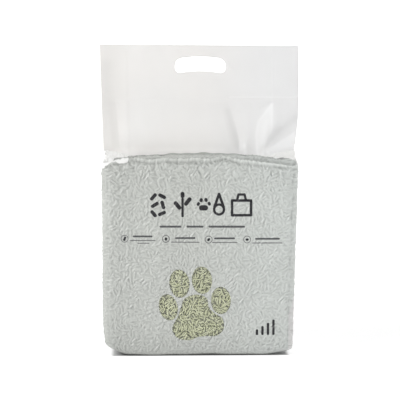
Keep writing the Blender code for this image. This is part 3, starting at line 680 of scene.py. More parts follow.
def shoulder_ends(shell, half_x, ys, share):
    """The roof's two ends, where the gusset goes in: slopes from its rims to one point under the head."""
    steps = 10
    for way in (-1.0, 1.0):
        end = BRICK_WIDTH / 2.0 - SHOULDER_INSET
        point = np.array((way * (end - GUSSET_NOTCH), 0.0, BRICK_HEIGHT + 0.0005))
        rims = [stacked(np.full(len(ys), way * half_x), ys, np.full(len(ys), BRICK_HEIGHT))]
        for face in (-1.0, 1.0):
            x = way * (half_x + (end - half_x) * share)
            z = BRICK_HEIGHT + TENT_RISE * shoulder_share(x, end) * share**TENT_POWER
            rims.append(stacked(x, face * ys[-1] * (1.0 - share), z))
        for rim in rims:
            go = (np.arange(steps + 1) / steps)[:, None, None]
            shell.grid(rim[None] + (point - rim[None]) * go, np.array([0.0, ROOF_EDGE + 0.01, -1.0]))


def brick_shell(inset, cells, windows):
    """The brick as one closed shell, with the folded roof where windows are asked for.

    The last number of each point's place is 1 on the walls, 0.85 on the roof, 0 on the base and at the roof's
    ridge, and -1 where the gussets go in.
    """
    front_cells, side_cells, row_cells, corner_cells, arc_cells, roof_cells = cells
    radius = EDGE_RADIUS - inset
    half_x, half_y = BRICK_WIDTH / 2.0 - EDGE_RADIUS, BRICK_DEPTH / 2.0 - EDGE_RADIUS
    xs = np.linspace(-half_x, half_x, front_cells + 1)
    ys = np.linspace(-half_y, half_y, side_cells + 1)
    cx, cy, turn, s = brick_columns(xs, ys, corner_cells)
    turn = np.radians(turn)

    low = np.linspace(-0.5 * math.pi, 0.0, arc_cells + 1)
    flat = np.linspace(EDGE_RADIUS, BRICK_HEIGHT - EDGE_RADIUS, row_cells + 1)
    zc = np.concatenate((np.full(arc_cells, flat[0]), flat, np.full(arc_cells, flat[-1])))
    tilt = np.concatenate((low[:-1], np.zeros(row_cells + 1), low[1:] + 0.5 * math.pi))
    bottom, top = EDGE_RADIUS * (low[:-1] + 0.5 * math.pi), ROOF_EDGE + EDGE_RADIUS * low[1:]
    t = np.concatenate((bottom, flat + SKIRT, top))
    out = radius * np.cos(tilt)[:, None]
    level = (zc + radius * np.sin(tilt))[:, None]
    points = stacked(*np.broadcast_arrays(cx + out * np.cos(turn), cy + out * np.sin(turn), level))
    places = stacked(*np.broadcast_arrays(s[None, :], t[:, None], 1.0))

    shell = Shell()
    depth = np.ones(points.shape[:2])
    if windows:
        block = (slice(arc_cells, arc_cells + row_cells + 1), slice(0, front_cells + 1))
        spots = points[block][..., (0, 2)]
        spots, depth[block] = snap(spots, outline_depth(spots, WINDOWS))
        points[block][..., (0, 2)] = spots
        places[block][..., (0, 1)] = spots + (BRICK_WIDTH / 2.0, SKIRT)
    shell.grid(points, places, depth)

    # The base, and the roof's two slopes, each in two halves that meet under the header. The back has half as
    # many columns as the front, so its last row is joined to every second point of the front's.
    for roof, level in ((False, EDGE_RADIUS - radius), (True, BRICK_HEIGHT - EDGE_RADIUS + radius)):
        half = roof_cells if roof else BASE_CELLS
        share = np.arange(half + 1) / half
        for way in (-1.0, 1.0):
            x, v = np.meshgrid(xs if way < 0.0 else xs[::2], share)
            stretch, rise = 1.0, 0.0
            if roof and windows:
                end = BRICK_WIDTH / 2.0 - SHOULDER_INSET
                stretch = 1.0 + (end / half_x - 1.0) * v
                rise = TENT_RISE * shoulder_share(x * stretch, end) * v**TENT_POWER
            spots = stacked(x * stretch, way * half_y * (1.0 - v), level + rise + 0.0 * v)
            run = x + BRICK_WIDTH / 2.0 if way < 0.0 else BRICK_WIDTH + BRICK_DEPTH + BRICK_WIDTH / 2.0 - x
            upward = ROOF_EDGE + v * half_y if roof else 0.0 * v
            marks = stacked(run, upward, np.full(x.shape, 0.85 if roof else 0.0))
            if way < 0.0:
                shell.grid(spots, marks)
                middle = spots[-1]
                continue
            index = shell.grid(spots[:-1], marks[:-1])
            ridge = shell.add(middle, np.array([0.0, ROOF_EDGE if roof else 0.0, 0.0]))
            for k in range(front_cells // 2):
                shell.faces.append((*index[-1, k : k + 2], *ridge[2 * k : 2 * k + 3][::-1]))
                shell.inside.append(False)
    if windows:
        shoulder_ends(shell, half_x, ys, np.arange(roof_cells + 1) / roof_cells)
    return shell.joined()


def mesh_object(name, points, faces, materials, slots=None, outward=True):
    """A smooth-shaded object from points and faces, with its normals made to face out."""
    mesh = bpy.data.meshes.new(name)
    mesh.from_pydata([tuple(p) for p in points], [], faces)
    for surface in materials:
        mesh.materials.append(surface)
    if slots is not None:
        mesh.polygons.foreach_set("material_index", np.array(slots, np.int32))
    if outward:
        bm = bmesh.new()
        bm.from_mesh(mesh)
        bmesh.ops.recalc_face_normals(bm, faces=bm.faces)
        bm.to_mesh(mesh)
        bm.free()
    mesh.shade_smooth()
    mesh.update()
    return linked(bpy.data.objects.new(name, mesh))


def linked(obj):
    """The object, put in the scene."""
    bpy.context.scene.collection.objects.link(obj)
    return obj


def vectors(items, key):
    """Three numbers of each item, as an array."""
    values = np.empty(3 * len(items), np.float32)
    items.foreach_get(key, values)
    return values.reshape(-1, 3).astype(float)


def coordinates(mesh):
    """The mesh's points."""
    return vectors(mesh.vertices, "co")


def normals(mesh):
    """The mesh's point normals."""
    return vectors(mesh.vertex_normals, "vector")


def place(mesh, points):
    """Moves the mesh's points."""
    mesh.vertices.foreach_set("co", points.astype(np.float32).reshape(-1))
    mesh.update()


def mark(mesh, name, values):
    """Stores one number for each point of the mesh."""
    layer = mesh.attributes.new(name, "FLOAT", "POINT")
    layer.data.foreach_set("value", np.asarray(values, np.float32))


def seen_height(points):
    """The height on the front face's plane at which the camera sees each point."""
    return points[:, 2] + SIGHT_SLOPE * (BRICK_DEPTH / 2.0 - np.abs(points[:, 1]))


def print_edge(points, behind=True):
    """How far each point lies below the upper edge of the print, in metres."""
    front, roof = (np.interp(points[:, 0], *np.array(line).T) for line in (PRINT_EDGE, ROOF_PRINT_EDGE))
    ripple = 0.0004 * np.sin(points[:, 0] * 310.0) + 0.0003 * np.sin(points[:, 0] * 173.0 + 1.0)
    return np.where(behind, roof, front) + ripple - seen_height(points)


# Materials


class Graph:
    """A node tree, built by short calls."""

    def __init__(self, tree):
        self.tree = tree

    def feed(self, socket, value):
        """Links an output, or sets a constant."""
        if isinstance(value, bpy.types.NodeSocket):
            self.tree.links.new(value, socket)
        else:
            socket.default_value = value

    def node(self, kind, *inputs, named=None, **settings):
        """A node with its settings, first inputs and named inputs given."""
        made = self.tree.nodes.new(kind)
        for key, value in settings.items():
            setattr(made, key, value)
        for socket, value in zip(made.inputs, inputs):
            if value is not None:
                self.feed(socket, value)
        for key, value in (named or {}).items():
            self.feed(made.inputs[key], value)
        return made

    def math(self, operation, *inputs, clamp=False):
        """A number from a sum."""
        return self.node("ShaderNodeMath", *inputs, operation=operation, use_clamp=clamp).outputs[0]

    def vector(self, operation, *inputs):
        """A vector, or its length or dot product."""
        made = self.node("ShaderNodeVectorMath", *inputs, operation=operation)
        return made.outputs["Value" if operation in ("LENGTH", "DOT_PRODUCT") else "Vector"]

    def scaled(self, vector, factor):
        """A vector or colour times a number."""
        made = self.node("ShaderNodeVectorMath", vector, named={"Scale": factor}, operation="SCALE")
        return made.outputs[0]

    def noise(self, place, scale, detail=2.0, roughness=0.5):
        """Noise between 0 and 1."""
        named = {"Vector": place, "Scale": scale, "Detail": detail, "Roughness": roughness}
        return self.node("ShaderNodeTexNoise", named=named).outputs["Fac"]

    def span(self, value, low, high, least, most, **settings):
        """A value carried from one range to another."""
        return self.node("ShaderNodeMapRange", value, low, high, least, most, **settings).outputs["Result"]

    def step(self, value, low, high):
        """A soft step from 0 at low to 1 at high."""
        return self.span(value, low, high, 0.0, 1.0, interpolation_type="SMOOTHSTEP")

    def vary(self, noise, least, most):
        """The middle part of a noise, carried to another range."""
        return self.span(noise, 0.3, 0.7, least, most)

    def mix(self, share, first, second):
        """Two colours mixed. The colours are the node's seventh and eighth inputs."""
        return self.node("ShaderNodeMix", share, *[None] * 5, first, second, data_type="RGBA").outputs[2]

    def attribute(self, name):
        """A stored number."""
        return self.node("ShaderNodeAttribute", attribute_name=name).outputs["Fac"]

    def printed(self, x):
        """The print's grey at x, and whether a point is below the print's edge."""
        grey = self.mix(self.step(x, -0.03, 0.12), PRINT_GREY, PRINT_COOL)
        return grey, self.step(self.attribute("print_edge"), -0.00025, 0.00025)


class Surface(Graph):
    """A new material with its node graph."""

    def __init__(self, name):
        self.material = bpy.data.materials.new(name)
        self.material.use_nodes = True
        super().__init__(self.material.node_tree)
        self.shader = self.tree.nodes["Principled BSDF"]
        self.place = self.node("ShaderNodeTexCoord").outputs["Object"]

    def finish(self, colour, roughness, specular, bump=None, **more):
        """Sets the shader's inputs, with a bump of height, strength and distance, and gives the material."""
        given = {"Base Color": colour, "Roughness": roughness, "Specular IOR Level": specular, **more}
        if bump:
            named = dict(zip(("Height", "Strength", "Distance"), bump))
            given["Normal"] = self.node("ShaderNodeBump", named=named).outputs["Normal"]
        for key, value in given.items():
            self.feed(self.shader.inputs[key.replace("_", " ")], value)
        return self.material


MM = 0.001
# Print marks on the front, in mm. A stroke is x0, z0, x1, z1 and its half width.
BOLD_STROKES = (
    (-60.8, 196.4, -56.6, 201.2, 1.75), (-50.6, 201.0, -45.2, 198.2, 1.75),
    (-59.6, 187.2, -54.2, 190.6, 1.75), (-48.0, 192.0, -46.2, 185.6, 1.75),
    (-60.4, 180.2, -56.6, 175.6, 1.75), (-51.0, 177.0, -45.4, 179.4, 1.75),
    (-22.7, 175.0, -22.7, 196.1, 1.1), (-31.2, 190.9, -26.6, 185.3, 2.1), (-14.0, 195.8, -18.4, 190.2, 2.1),
    (-22.7, 199.6, -22.7, 202.6, 2.0), (1.0, 185.1, 5.6, 185.1, 2.9), (-3.4, 189.4, -3.0, 190.4, 1.5),
    (0.3, 194.1, 0.5, 195.1, 1.6), (6.3, 195.3, 6.5, 194.3, 1.6), (10.1, 190.8, 10.5, 189.8, 1.5),
    (16.8, 186.1, 22.5, 202.2, 1.24), (28.2, 186.1, 22.5, 202.2, 1.24), (38.6, 194.1, 62.2, 194.0, 1.24),
    (62.2, 194.0, 62.2, 175.8, 1.24), (62.2, 175.8, 38.6, 175.8, 1.24), (38.6, 175.8, 38.6, 194.1, 1.24),
    (44.8, 194.1, 46.6, 201.5, 1.11), (46.6, 201.5, 54.1, 201.5, 1.11), (54.1, 201.5, 56.0, 194.0, 1.11),
    (69.9, 27.5, 69.9, 31.9, 1.1), (76.8, 27.5, 76.8, 35.9, 1.1), (83.7, 27.5, 83.7, 40.0, 1.1),
    (90.5, 27.5, 90.5, 44.0, 1.1), (-94.9, 145.6, -93.8, 148.4, 1.0), (-43.3, 146.2, -43.3, 147.2, 1.1),
    (9.2, 145.0, 10.1, 146.3, 1.0), (57.0, 145.6, 57.9, 145.6, 1.1),
)
SOFT_STROKES = (
    (-50.0, 162.0, -25.2, 161.9, 1.0), (-16.6, 161.9, 2.0, 161.8, 1.0), (10.7, 161.8, 53.5, 161.6, 1.0),
    (-83.4, 149.9, -61.1, 149.8, 0.85), (-30.8, 147.7, -7.9, 147.7, 0.85), (17.5, 147.2, 41.1, 147.1, 0.85),
    (68.5, 146.4, 97.1, 146.3, 0.85),
)
FINE_STROKES = (
    (-87.7, 144.9, -56.8, 144.8, 0.5), (-77.8, 141.4, -64.2, 141.4, 0.45), (-36.4, 142.8, -2.3, 142.4, 0.5),
    (14.4, 142.1, 44.9, 142.0, 0.5), (64.1, 141.2, 100.8, 141.1, 0.5),
)
BOLD_RINGS = ((22.5, 183.0, 6.1, 1.15),)
FINE_RINGS = (
    (-94.4, 147.0, 4.3, 0.35), (-43.3, 146.8, 4.3, 0.35), (9.6, 145.7, 4.3, 0.35), (57.4, 145.6, 4.3, 0.35),
)


def stroke_group():
    """Distance to a round-ended stroke: its start, its run, and its half width."""
    group = bpy.data.node_groups.new("stroke", "ShaderNodeTree")
    for name, kind in (("Spot", "Vector"), ("Start", "Vector"), ("Run", "Vector"), ("Radius", "Float")):
        group.interface.new_socket(name=name, in_out="INPUT", socket_type="NodeSocket" + kind)
    group.interface.new_socket(name="Distance", in_out="OUTPUT", socket_type="NodeSocketFloat")
    graph = Graph(group)
    spot, start, run, radius = list(group.nodes.new("NodeGroupInput").outputs)[:4]
    offset = graph.vector("SUBTRACT", spot, start)
    across, whole = graph.vector("DOT_PRODUCT", offset, run), graph.vector("DOT_PRODUCT", run, run)
    nearest_spot = graph.scaled(run, graph.math("DIVIDE", across, whole, clamp=True))
    gap = graph.vector("LENGTH", graph.vector("SUBTRACT", offset, nearest_spot))
    graph.node("NodeGroupOutput", graph.math("SUBTRACT", gap, radius))
    return group


def nearest(graph, spot, group, strokes, rings=()):
    """Distance to the nearest of several print marks."""
    gaps = []
    for x0, z0, x1, z1, radius in strokes:
        start, run = (x0 * MM, z0 * MM, 0.0), ((x1 - x0) * MM, (z1 - z0) * MM, 0.0)
        gaps.append(graph.node("ShaderNodeGroup", spot, start, run, radius * MM, node_tree=group).outputs[0])
    for x, z, radius, half in rings:
        away = graph.vector("LENGTH", graph.vector("SUBTRACT", spot, (x * MM, z * MM, 0.0)))
        off = graph.math("ABSOLUTE", graph.math("SUBTRACT", away, radius * MM))
        gaps.append(graph.math("SUBTRACT", off, half * MM))
    result = gaps[0]
    for gap in gaps[1:]:
        result = graph.math("MINIMUM", result, gap)
    return result


PRINT_GREY = (0.48, 0.493, 0.468, 1.0)
PRINT_COOL = (0.526, 0.548, 0.529, 1.0)
PRINT_PALE = (0.56, 0.552, 0.548, 1.0)
BARE_FILM = (0.82, 0.82, 0.805, 1.0)
INK = (0.012, 0.012, 0.015, 1.0)
SOFT_INK = (0.075, 0.077, 0.08, 1.0)
FINE_INK = (0.15, 0.152, 0.152, 1.0)
HEAD_MILK = (0.826, 0.819, 0.807, 1.0)
HEAD_WARM = (0.826, 0.813, 0.798, 1.0)
HEAD_RIGHT = (0.797, 0.797, 0.797, 1.0)
HEAD_LEFT = (0.79, 0.778, 0.76, 1.0)
PELLET_DARK = (0.468, 0.488, 0.31)
PELLET_LIGHT = (0.562, 0.582, 0.394)
PELLET_SPECK = (0.25, 0.23, 0.13)


def film_material(name, with_ink):
    """Satin film, printed below the print's edge and milky above it."""
    g = Surface(name)
    x, y, z = g.node("ShaderNodeSeparateXYZ", g.place).outputs
    cloud, grain = g.noise(g.place, 24.0, 3.0), g.noise(g.place, 420.0, 2.0)
    grey, inked = g.printed(x)
    shade = g.math("ADD", g.vary(cloud, 0.975, 1.025), g.vary(grain, -0.012, 0.012))
    # The tone attribute carries the painted shade and highlights worked out in film_tone.
    colour = g.scaled(grey, g.math("MULTIPLY", shade, g.attribute("tone")))
    if with_ink:
        spot = g.node("ShaderNodeCombineXYZ", x, z, 0.0).outputs[0]
        group = stroke_group()
        ahead = g.math("LESS_THAN", y, -0.03)
        for strokes, rings, ink, soft, spread in (
            (FINE_STROKES, FINE_RINGS, FINE_INK, 0.00025, 0.00012),
            (SOFT_STROKES, (), SOFT_INK, 0.0003, 0.0003),
            (BOLD_STROKES, BOLD_RINGS, INK, 0.00022, 0.00042),
        ):
            gap = g.math("SUBTRACT", nearest(g, spot, group, strokes, rings), spread)
            colour = g.mix(g.math("MULTIPLY", g.step(gap, soft, -soft), ahead), colour, ink)
        pale = g.math("MULTIPLY", g.step(g.attribute("pale"), -0.0004, 0.0004), 0.8)
        colour = g.mix(pale, colour, PRINT_PALE)
    milk = g.scaled(BARE_FILM[:3], g.vary(cloud, 0.985, 1.012))
    fine = g.math("ADD", g.math("MULTIPLY", g.noise(g.place, 520.0, 3.0), 0.6), g.noise(g.place, 190.0))
    roughness = g.vary(g.noise(g.place, 60.0), 0.36, 0.47)
    return g.finish(g.mix(inked, milk, colour), roughness, 0.42, (fine, 0.35, 0.00022))


def head_material():
    """Milky clear film: it scatters what falls on it and lets some of it through."""
    g = Surface("head_film")
    x, _, z = g.node("ShaderNodeSeparateXYZ", g.place).outputs
    tone = g.mix(g.step(g.noise(g.place, 9.0, 1.0), 0.35, 0.65), HEAD_MILK, HEAD_WARM)
    tone = g.mix(g.step(x, -0.02, 0.1), tone, HEAD_RIGHT)
    tone = g.mix(g.step(x, -0.08, -0.112), tone, HEAD_LEFT)
    # Painted light: the head is brightened towards its foot over 65 mm above the roof's ridge, and the
    # painted highlights and shade of its folds are laid on that.
    painted_light = g.span(z, ROOF_RIDGE, ROOF_RIDGE + 0.065, 1.11, 1.0)
    painted_light = g.math("MULTIPLY", painted_light, g.span(g.attribute("fold_shading"), -1.0, 1.2, 0.935, 1.078))
    milk = g.scaled(tone, g.math("MULTIPLY", g.vary(g.noise(g.place, 17.0, 3.0), 0.985, 1.015), painted_light))
    grey, inked = g.printed(x)
    colour = g.mix(inked, milk, grey)
    height = g.math("ADD", g.noise(g.place, 60.0, 3.0), g.math("MULTIPLY", g.noise(g.place, 300.0), 0.3))
    g.finish(colour, g.vary(g.noise(g.place, 24.0, 3.0), 0.3, 0.42), 0.45, (height, 0.3, 0.00035))
    through = g.node("ShaderNodeBsdfTranslucent", colour)
    mixed = g.node("ShaderNodeMixShader", 0.25, g.shader.outputs[0], through.outputs[0])
    g.feed(g.tree.nodes["Material Output"].inputs["Surface"], mixed.outputs[0])
    return g.material


def window_material():
    """Bare clear film: a little haze and a soft shine over what lies behind it."""
    g = Surface("window_film")
    haze = g.vary(g.noise(g.place, 150.0), 0.07, 0.14)
    return g.finish((0.86, 0.87, 0.84, 1.0), 0.22, 0.6, (g.noise(g.place, 260.0), 0.4, 0.0003), Alpha=haze)


def litter_material(name, dark):
    """Pressed fibre pellets, each in its own shade."""
    g = Surface(name)
    colours = (PELLET_DARK, PELLET_LIGHT, PELLET_SPECK)
    low, high, spot = ((*(dark * part for part in colour), 1.0) for colour in colours)
    fibre = g.noise(g.place, 900.0, 3.0, 0.6)
    speck = g.math("MULTIPLY", g.step(g.noise(g.place, 1500.0, 1.0), 0.62, 0.72), 0.45)
    tone = g.mix(speck, g.mix(g.attribute("shade"), low, high), spot)
    colour = g.scaled(tone, g.vary(fibre, 0.9, 1.1))
    return g.finish(colour, g.vary(fibre, 0.78, 0.92), 0.2, (fibre, 0.6, 0.0003))


def paper_white(name, level):
    """A plain pale surface for the floor and backdrop, which glows a little away from the bag."""
    g = Surface(name)
    past = g.vector("SUBTRACT", g.vector("ABSOLUTE", g.place), (0.107, 0.042, 0.0))
    away = g.vector("LENGTH", g.vector("MAXIMUM", past, (0.0, 0.0, 0.0)))
    near = g.math("MULTIPLY", g.step(away, -0.001, 0.007), 0.66)
    glow = g.math("ADD", near, g.math("MULTIPLY", g.step(away, 0.5, 2.0), 0.4))
    white = (1.0, 1.0, 1.0, 1.0)
    return g.finish((level, level, level, 1.0), 0.9, 0.1, Emission_Strength=glow, Emission_Color=white)


# Pieces


def line_gap(spots, line):
    """Distance of each spot to a line of several points."""
    line = np.array(line)
    start, along = line[:-1], np.diff(line, axis=0)
    offset = spots[..., None, :] - start
    share = clip((offset * along).sum(-1) / (along * along).sum(-1))
    return np.linalg.norm(offset - share[..., None] * along, axis=-1).min(-1)


def along_lines(spots, rows, start=0.0):
    """Soft ridges along some lines, added up. Each row is a line, its strength and its half width."""
    return sum((rise * np.exp(-((line_gap(spots, line) / half) ** 2)) for line, rise, half in rows), start)


def corner_folds(points):
    """The creases and rolls of bare film at the upper corners, as extra height."""
    result = np.zeros(len(points))
    near = np.nonzero((points[:, 2] > 0.222) & (np.abs(points[:, 0]) > 0.075) & (points[:, 1] < -0.004))[0]
    result[near] = along_lines(stacked(points[near, 0], seen_height(points[near])), CORNER_FOLDS)
    return result


def tuck_heels(points):
    """The block with its lower edges a little off the floor, its corners more, and the left heel drawn in."""
    x, y, z = points.T
    left, right = smooth((-x - 0.085) / 0.035), smooth((x - 0.07) / 0.045)
    low = np.exp(-z / LIFT_HEIGHT)
    moved = points.copy()
    moved[:, 0] += HEEL_TUCK * left * low
    moved[:, 2] += (HEEL_LIFTS[0] * left + HEEL_LIFTS[1] * right) * low
    rim = smooth((np.abs(y) - 0.028) / 0.02)
    moved[:, 2] += (RIM_LIFT + 0.0006 * np.sin(52.0 * x + 1.0) + 0.0004 * np.sin(131.0 * x)) * rim * low
    return moved


def fill_shoulders(points):
    """Pushes the block's upper corners out to its full width."""
    x, z = points[:, 0], points[:, 2]
    high = smooth((z - 0.2345) / 0.009) * smooth((np.abs(x) - 0.096) / 0.016)
    fill = SHOULDER_FILL * np.where(x < 0.0, LEFT_FILL, 1.0)
    points[:, 0] += np.sign(x) * fill * high * clip((0.1215 - np.abs(x)) / 0.0095)


def emboss(field, base, out, places):
    """How far the film stands out: pellets, the solid's ridges, the crest and the corner folds."""
    s, t, weight = places.T
    height = field.sample(s, t) * np.abs(weight) * (1.0 + 0.1 * smooth((t - ROOF_EDGE + 0.045) / 0.025))
    height = np.where(weight < 0.0, GUSSET_RELIEF * height, height)
    spots = stacked(s - BRICK_WIDTH / 2.0, t - SKIRT)
    clear = (s > BRICK_WIDTH) | (outline_depth(spots, WINDOWS) > 0.002)
    off_seam = np.abs(s - 1.5 * BRICK_WIDTH - BRICK_DEPTH) > SEAM_WIDTH / 2.0 + 0.002
    flat = (weight == 1.0) & (t > BASE_FADE) & (t < ROOF_EDGE - ARC)
    lumps, met = solid_relief(base, out, s, t, flat & clear & off_seam)
    lumps = lumps * met * (0.75 + 0.5 * smooth((t - 0.17) / 0.06))
    height += SOLID_SHARE * lumps * smooth((t - BASE_FADE) / 0.01) * smooth((ROOF_EDGE - ARC - t) / 0.01)
    height += crest(s, t) * (weight > 0.0)
    height += corner_folds(base)
    height = (height + FILM_LIFT) * smooth((t - 0.002) / BASE_FADE)
    return np.where(weight == 0.0, 0.0, height)


def film_tone(field, moved, edge, places):
    """Painted shade on the film: darker in hollows, at the foot and along the print's edge on the roof."""
    s, t, weight = places.T
    x, z = moved[:, 0], moved[:, 2]
    # Painted shade in the film's hollows and painted highlight on its ridges, up to twice as strong on the
    # roof.
    tone = np.interp(field.sample(s, t, field.hollow), *HOLLOW_PAINTED_SHADE)
    tone = 1.0 + (tone - 1.0) * (1.0 + 1.0 * smooth((t - ROOF_EDGE + 0.005) / 0.004))
    # Painted highlight along the crest's fold and painted shade in the grooves beside it.
    tone *= 1.0 + CREST_PAINTED_LIGHT * clip(crest(s, t) / CREST_HEIGHT, -0.6, 1.0)
    # Painted shade: darker towards the foot, at the top and on the left side.
    tone *= 1.0 - FOOT_SHADE * smooth((0.044 - z) / 0.044)
    tone *= 1.0 - TOP_SHADE * smooth((z - 0.19) / 0.03) - LEFT_SHADE * smooth((-x - 0.06) / 0.04)
    # Painted shadow in blotches along the print's edge on the roof, where the roof's film meets the head.
    blotches = 0.6 + 0.4 * np.sin(x * 420.0) * np.sin(x * 173.0 + 1.0)
    tone *= 1.0 - CREVICE_PAINTED_SHADOW * (np.exp(-(((edge - 0.0009) / 0.0011) ** 2)) * (t > ROOF_EDGE) * blotches)
    return np.where(weight <= 0.0, 0.9, tone)


def film_skin(field, materials):
    """The film round the block: one closed skin, embossed by the pellets under it."""
    points, places, faces, inside = brick_shell(0.0, SKIN_CELLS, windows=True)
    obj = mesh_object("film_skin", settle(points), faces, materials, inside)
    mesh = obj.data
    base = coordinates(mesh)
    fill_shoulders(base)
    base = tuck_heels(base)
    place(mesh, base)
    out = normals(mesh)
    place(mesh, base + out * emboss(field, base, out, places)[:, None])
    moved = coordinates(mesh)
    moved[:, 2] = np.maximum(moved[:, 2], 0.0)
    place(mesh, moved)
    s, t, weight = places.T
    edge = np.where(weight < 0.0, -0.01, print_edge(base, t > ROOF_EDGE - 0.0012))
    mark(mesh, "print_edge", edge)
    # The pale strip of bare film at the lower right corner of the front, in metres inside its edge.
    strip = moved[:, 0] - 0.1092 - 0.3 * np.maximum(moved[:, 2] - 0.05, 0.0)
    mark(mesh, "pale", np.minimum(strip, -0.02 - moved[:, 1]))
    mark(mesh, "tone", film_tone(field, moved, edge, places))
    return part_skin(obj, materials, t)


def part_skin(obj, materials, t):
    """Parts the skin into its front, its roof and base, and the rest. All keep the whole skin's shading."""
    whole = obj.data
    spots, out = coordinates(whole), normals(whole)
    faces = [tuple(face.vertices) for face in whole.polygons]
    slots = np.array([face.material_index for face in whole.polygons])
    middles = np.array([face.center[1] for face in whole.polygons])
    lowest, highest = (np.array([limit(t[i] for i in face) for face in faces]) for limit in (min, max))
    ends = (highest <= SKIRT + EDGE_RADIUS + 1e-6) | (lowest >= ROOF_EDGE - ARC - 1e-6)
    front = ~ends & (middles < FRONT_LIMIT)
    stored = {}
    for name in ("print_edge", "pale", "tone"):
        stored[name] = np.empty(len(spots), np.float32)
        whole.attributes[name].data.foreach_get("value", stored[name])
    pieces = []
    for name, chosen in (("film_front", front), ("film_ends", ends), ("film_back", ~ends & ~front)):
        used, kept = renumbered([faces[i] for i in np.nonzero(chosen)[0]])
        piece = mesh_object(name, spots[used], kept, materials, slots[chosen], outward=False)
        for key, values in stored.items():
            mark(piece.data, key, values[used])
        piece.data.normals_split_custom_set_from_vertices([tuple(v) for v in out[used]])
        pieces.append(piece)
    bpy.data.objects.remove(obj)
    bpy.data.meshes.remove(whole)
    return pieces


def pellet_mesh(name, specs, rng, surface, rings=5, sides=8):
    """Pellets as one mesh: slightly bent rods with broken ends."""
    points, faces, shades = [], [], []
    turn = 2.0 * math.pi * np.arange(sides) / sides
    c, d = np.cos(turn), np.sin(turn)
    steps = list(zip(range(sides), (*range(1, sides), 0)))
    along = np.linspace(-1.0, 1.0, rings)[:, None]
    out = np.array((0.0, -1.0, 0.0))
    for s, t, angle, half, level, slope in specs:
        axis = np.array((math.cos(angle), 0.0, math.sin(angle)))
        over = np.array((-math.sin(angle), 0.0, math.cos(angle)))
        depth = FILM_LIFT + level - PELLET_RADIUS - PELLET_GAP
        centre = np.array((s - BRICK_WIDTH / 2.0, -BRICK_DEPTH / 2.0 - depth, t - SKIRT))
        bend = rng.normal(0.0, PELLET_BEND) * half
        line = centre + along * half * axis + slope * along * out + bend * (along**2 - 0.5) * over
        thick = PELLET_RADIUS * rng.uniform(0.86, 1.0) * (1.0 - 0.04 * rng.random(rings))
        cut = rng.normal(0.0, PELLET_CUT, 2)
        ring = line[:, None, :] + thick[:, None, None] * (c[None, :, None] * over + d[None, :, None] * out)
        for end, way in ((0, -1.0), (-1, 1.0)):
            slant = PELLET_RADIUS * (cut[end] * c + PELLET_BREAK * rng.normal(0.0, 1.0, sides))
            ring[end] += (way * slant)[:, None] * axis * 0.5
        start = len(points)
        points += [*ring.reshape(-1, 3), line[0] - 0.0001 * axis, line[-1] + 0.0001 * axis]
        first, top = start + rings * sides, start + (rings - 1) * sides
        for r in range(start, top, sides):
            faces += [(r + k, r + after, r + after + sides, r + k + sides) for k, after in steps]
        for k, after in steps:
            faces += [(start + after, start + k, first), (top + k, top + after, first + 1)]
        shades += [rng.random()] * (rings * sides + 2)
    obj = mesh_object(name, settle(np.array(points)), faces, [surface])
    mark(obj.data, "shade", shades)
    obj.data.set_sharp_from_angle(angle=SHARP)
    return obj


def litter_pieces(pellets, surface, bed_surface):
    """The litter: its mass, and the loose pellets that show through the windows."""
    rng = np.random.default_rng(SEED + 1)
    shift = np.array((BRICK_WIDTH / 2.0, SKIRT))

    def shown(spec):
        """Whether a pellet can be seen through a window."""
        return outline_depth((np.array(spec[:2]) - shift)[None, None], WINDOWS)[0, 0] < 0.004 + spec[3]

    edges = np.concatenate(WINDOWS)
    area = np.transpose((edges.min(0) - WINDOW_MARGIN + shift, edges.max(0) + WINDOW_MARGIN + shift))
    specs = [(*p[:4], max(p[4], 0.6 * p[4] - 0.0001), p[5]) for p in pellets if shown(p)]
    for levels, trials in DEEP_LAYERS:
        layer = scatter(Field(-1.0), rng, area, trials, levels, order=0.6, lengths=DEEP_LENGTHS)
        specs += [p for p in layer if shown(p)]
    loose = pellet_mesh("window_pellets", specs, rng, surface)
    points, _, faces, _ = brick_shell(LITTER_INSET, LITTER_CELLS, windows=False)
    mass = mesh_object("litter_mass", tuck_heels(settle(points)), faces, [bed_surface])
    # Painted shade: the mass is coloured near the darkest pellet colour, in a copy of the pellet material
    # made darker.
    mark(mass.data, "shade", np.full(len(points), 0.2))
    return loose, mass


def header_half_width(z, x):
    """Half the header's width at a height. The right edge stays straight longer than the left."""
    left = clip((BAG_HEIGHT - z) / HEADER_HEIGHT) * (HEADER_SPREAD + HEADER_LEFT_TUCK)
    low = clip((ROOF_RIDGE + HEADER_PULL_IN - z) / HEADER_PULL_IN)
    right = low**2 * (HEADER_SPREAD + HEADER_RIGHT_TUCK)
    return FLAT_WIDTH / 2.0 - np.where(x < 0.0, left, right)


def header_surface(x, z):
    """How far the middle of the header lies from its flat plane."""
    rise = z - ROOF_RIDGE
    free = clip(rise / HEADER_HEIGHT)
    depth = HEADER_WAVE * np.sin(math.pi * free) * np.sin(2.6 * math.pi * x / FLAT_WIDTH + 0.8)
    settled = clip(rise / (2.0 * FOOT_HEIGHT))
    for fold in HEADER_FOLDS:
        levels, *rest = np.array(fold).T
        middle, left, right, height = (np.interp(rise, levels, values) for values in rest)
        away = x - middle
        across = clip(1.0 - np.where(away < 0.0, -away / left, away / right))
        shape = 0.7 * across + 0.3 * smooth(across)
        depth = depth + FOLD_GAIN * height * shape * settled * (rise < levels[-1])
    return depth


def flat_grid(left, right, columns, low, high, rows):
    """Points of a flat grid, as x and height."""
    return stacked(*np.meshgrid(np.linspace(left, right, columns + 1), np.linspace(low, high, rows + 1)))


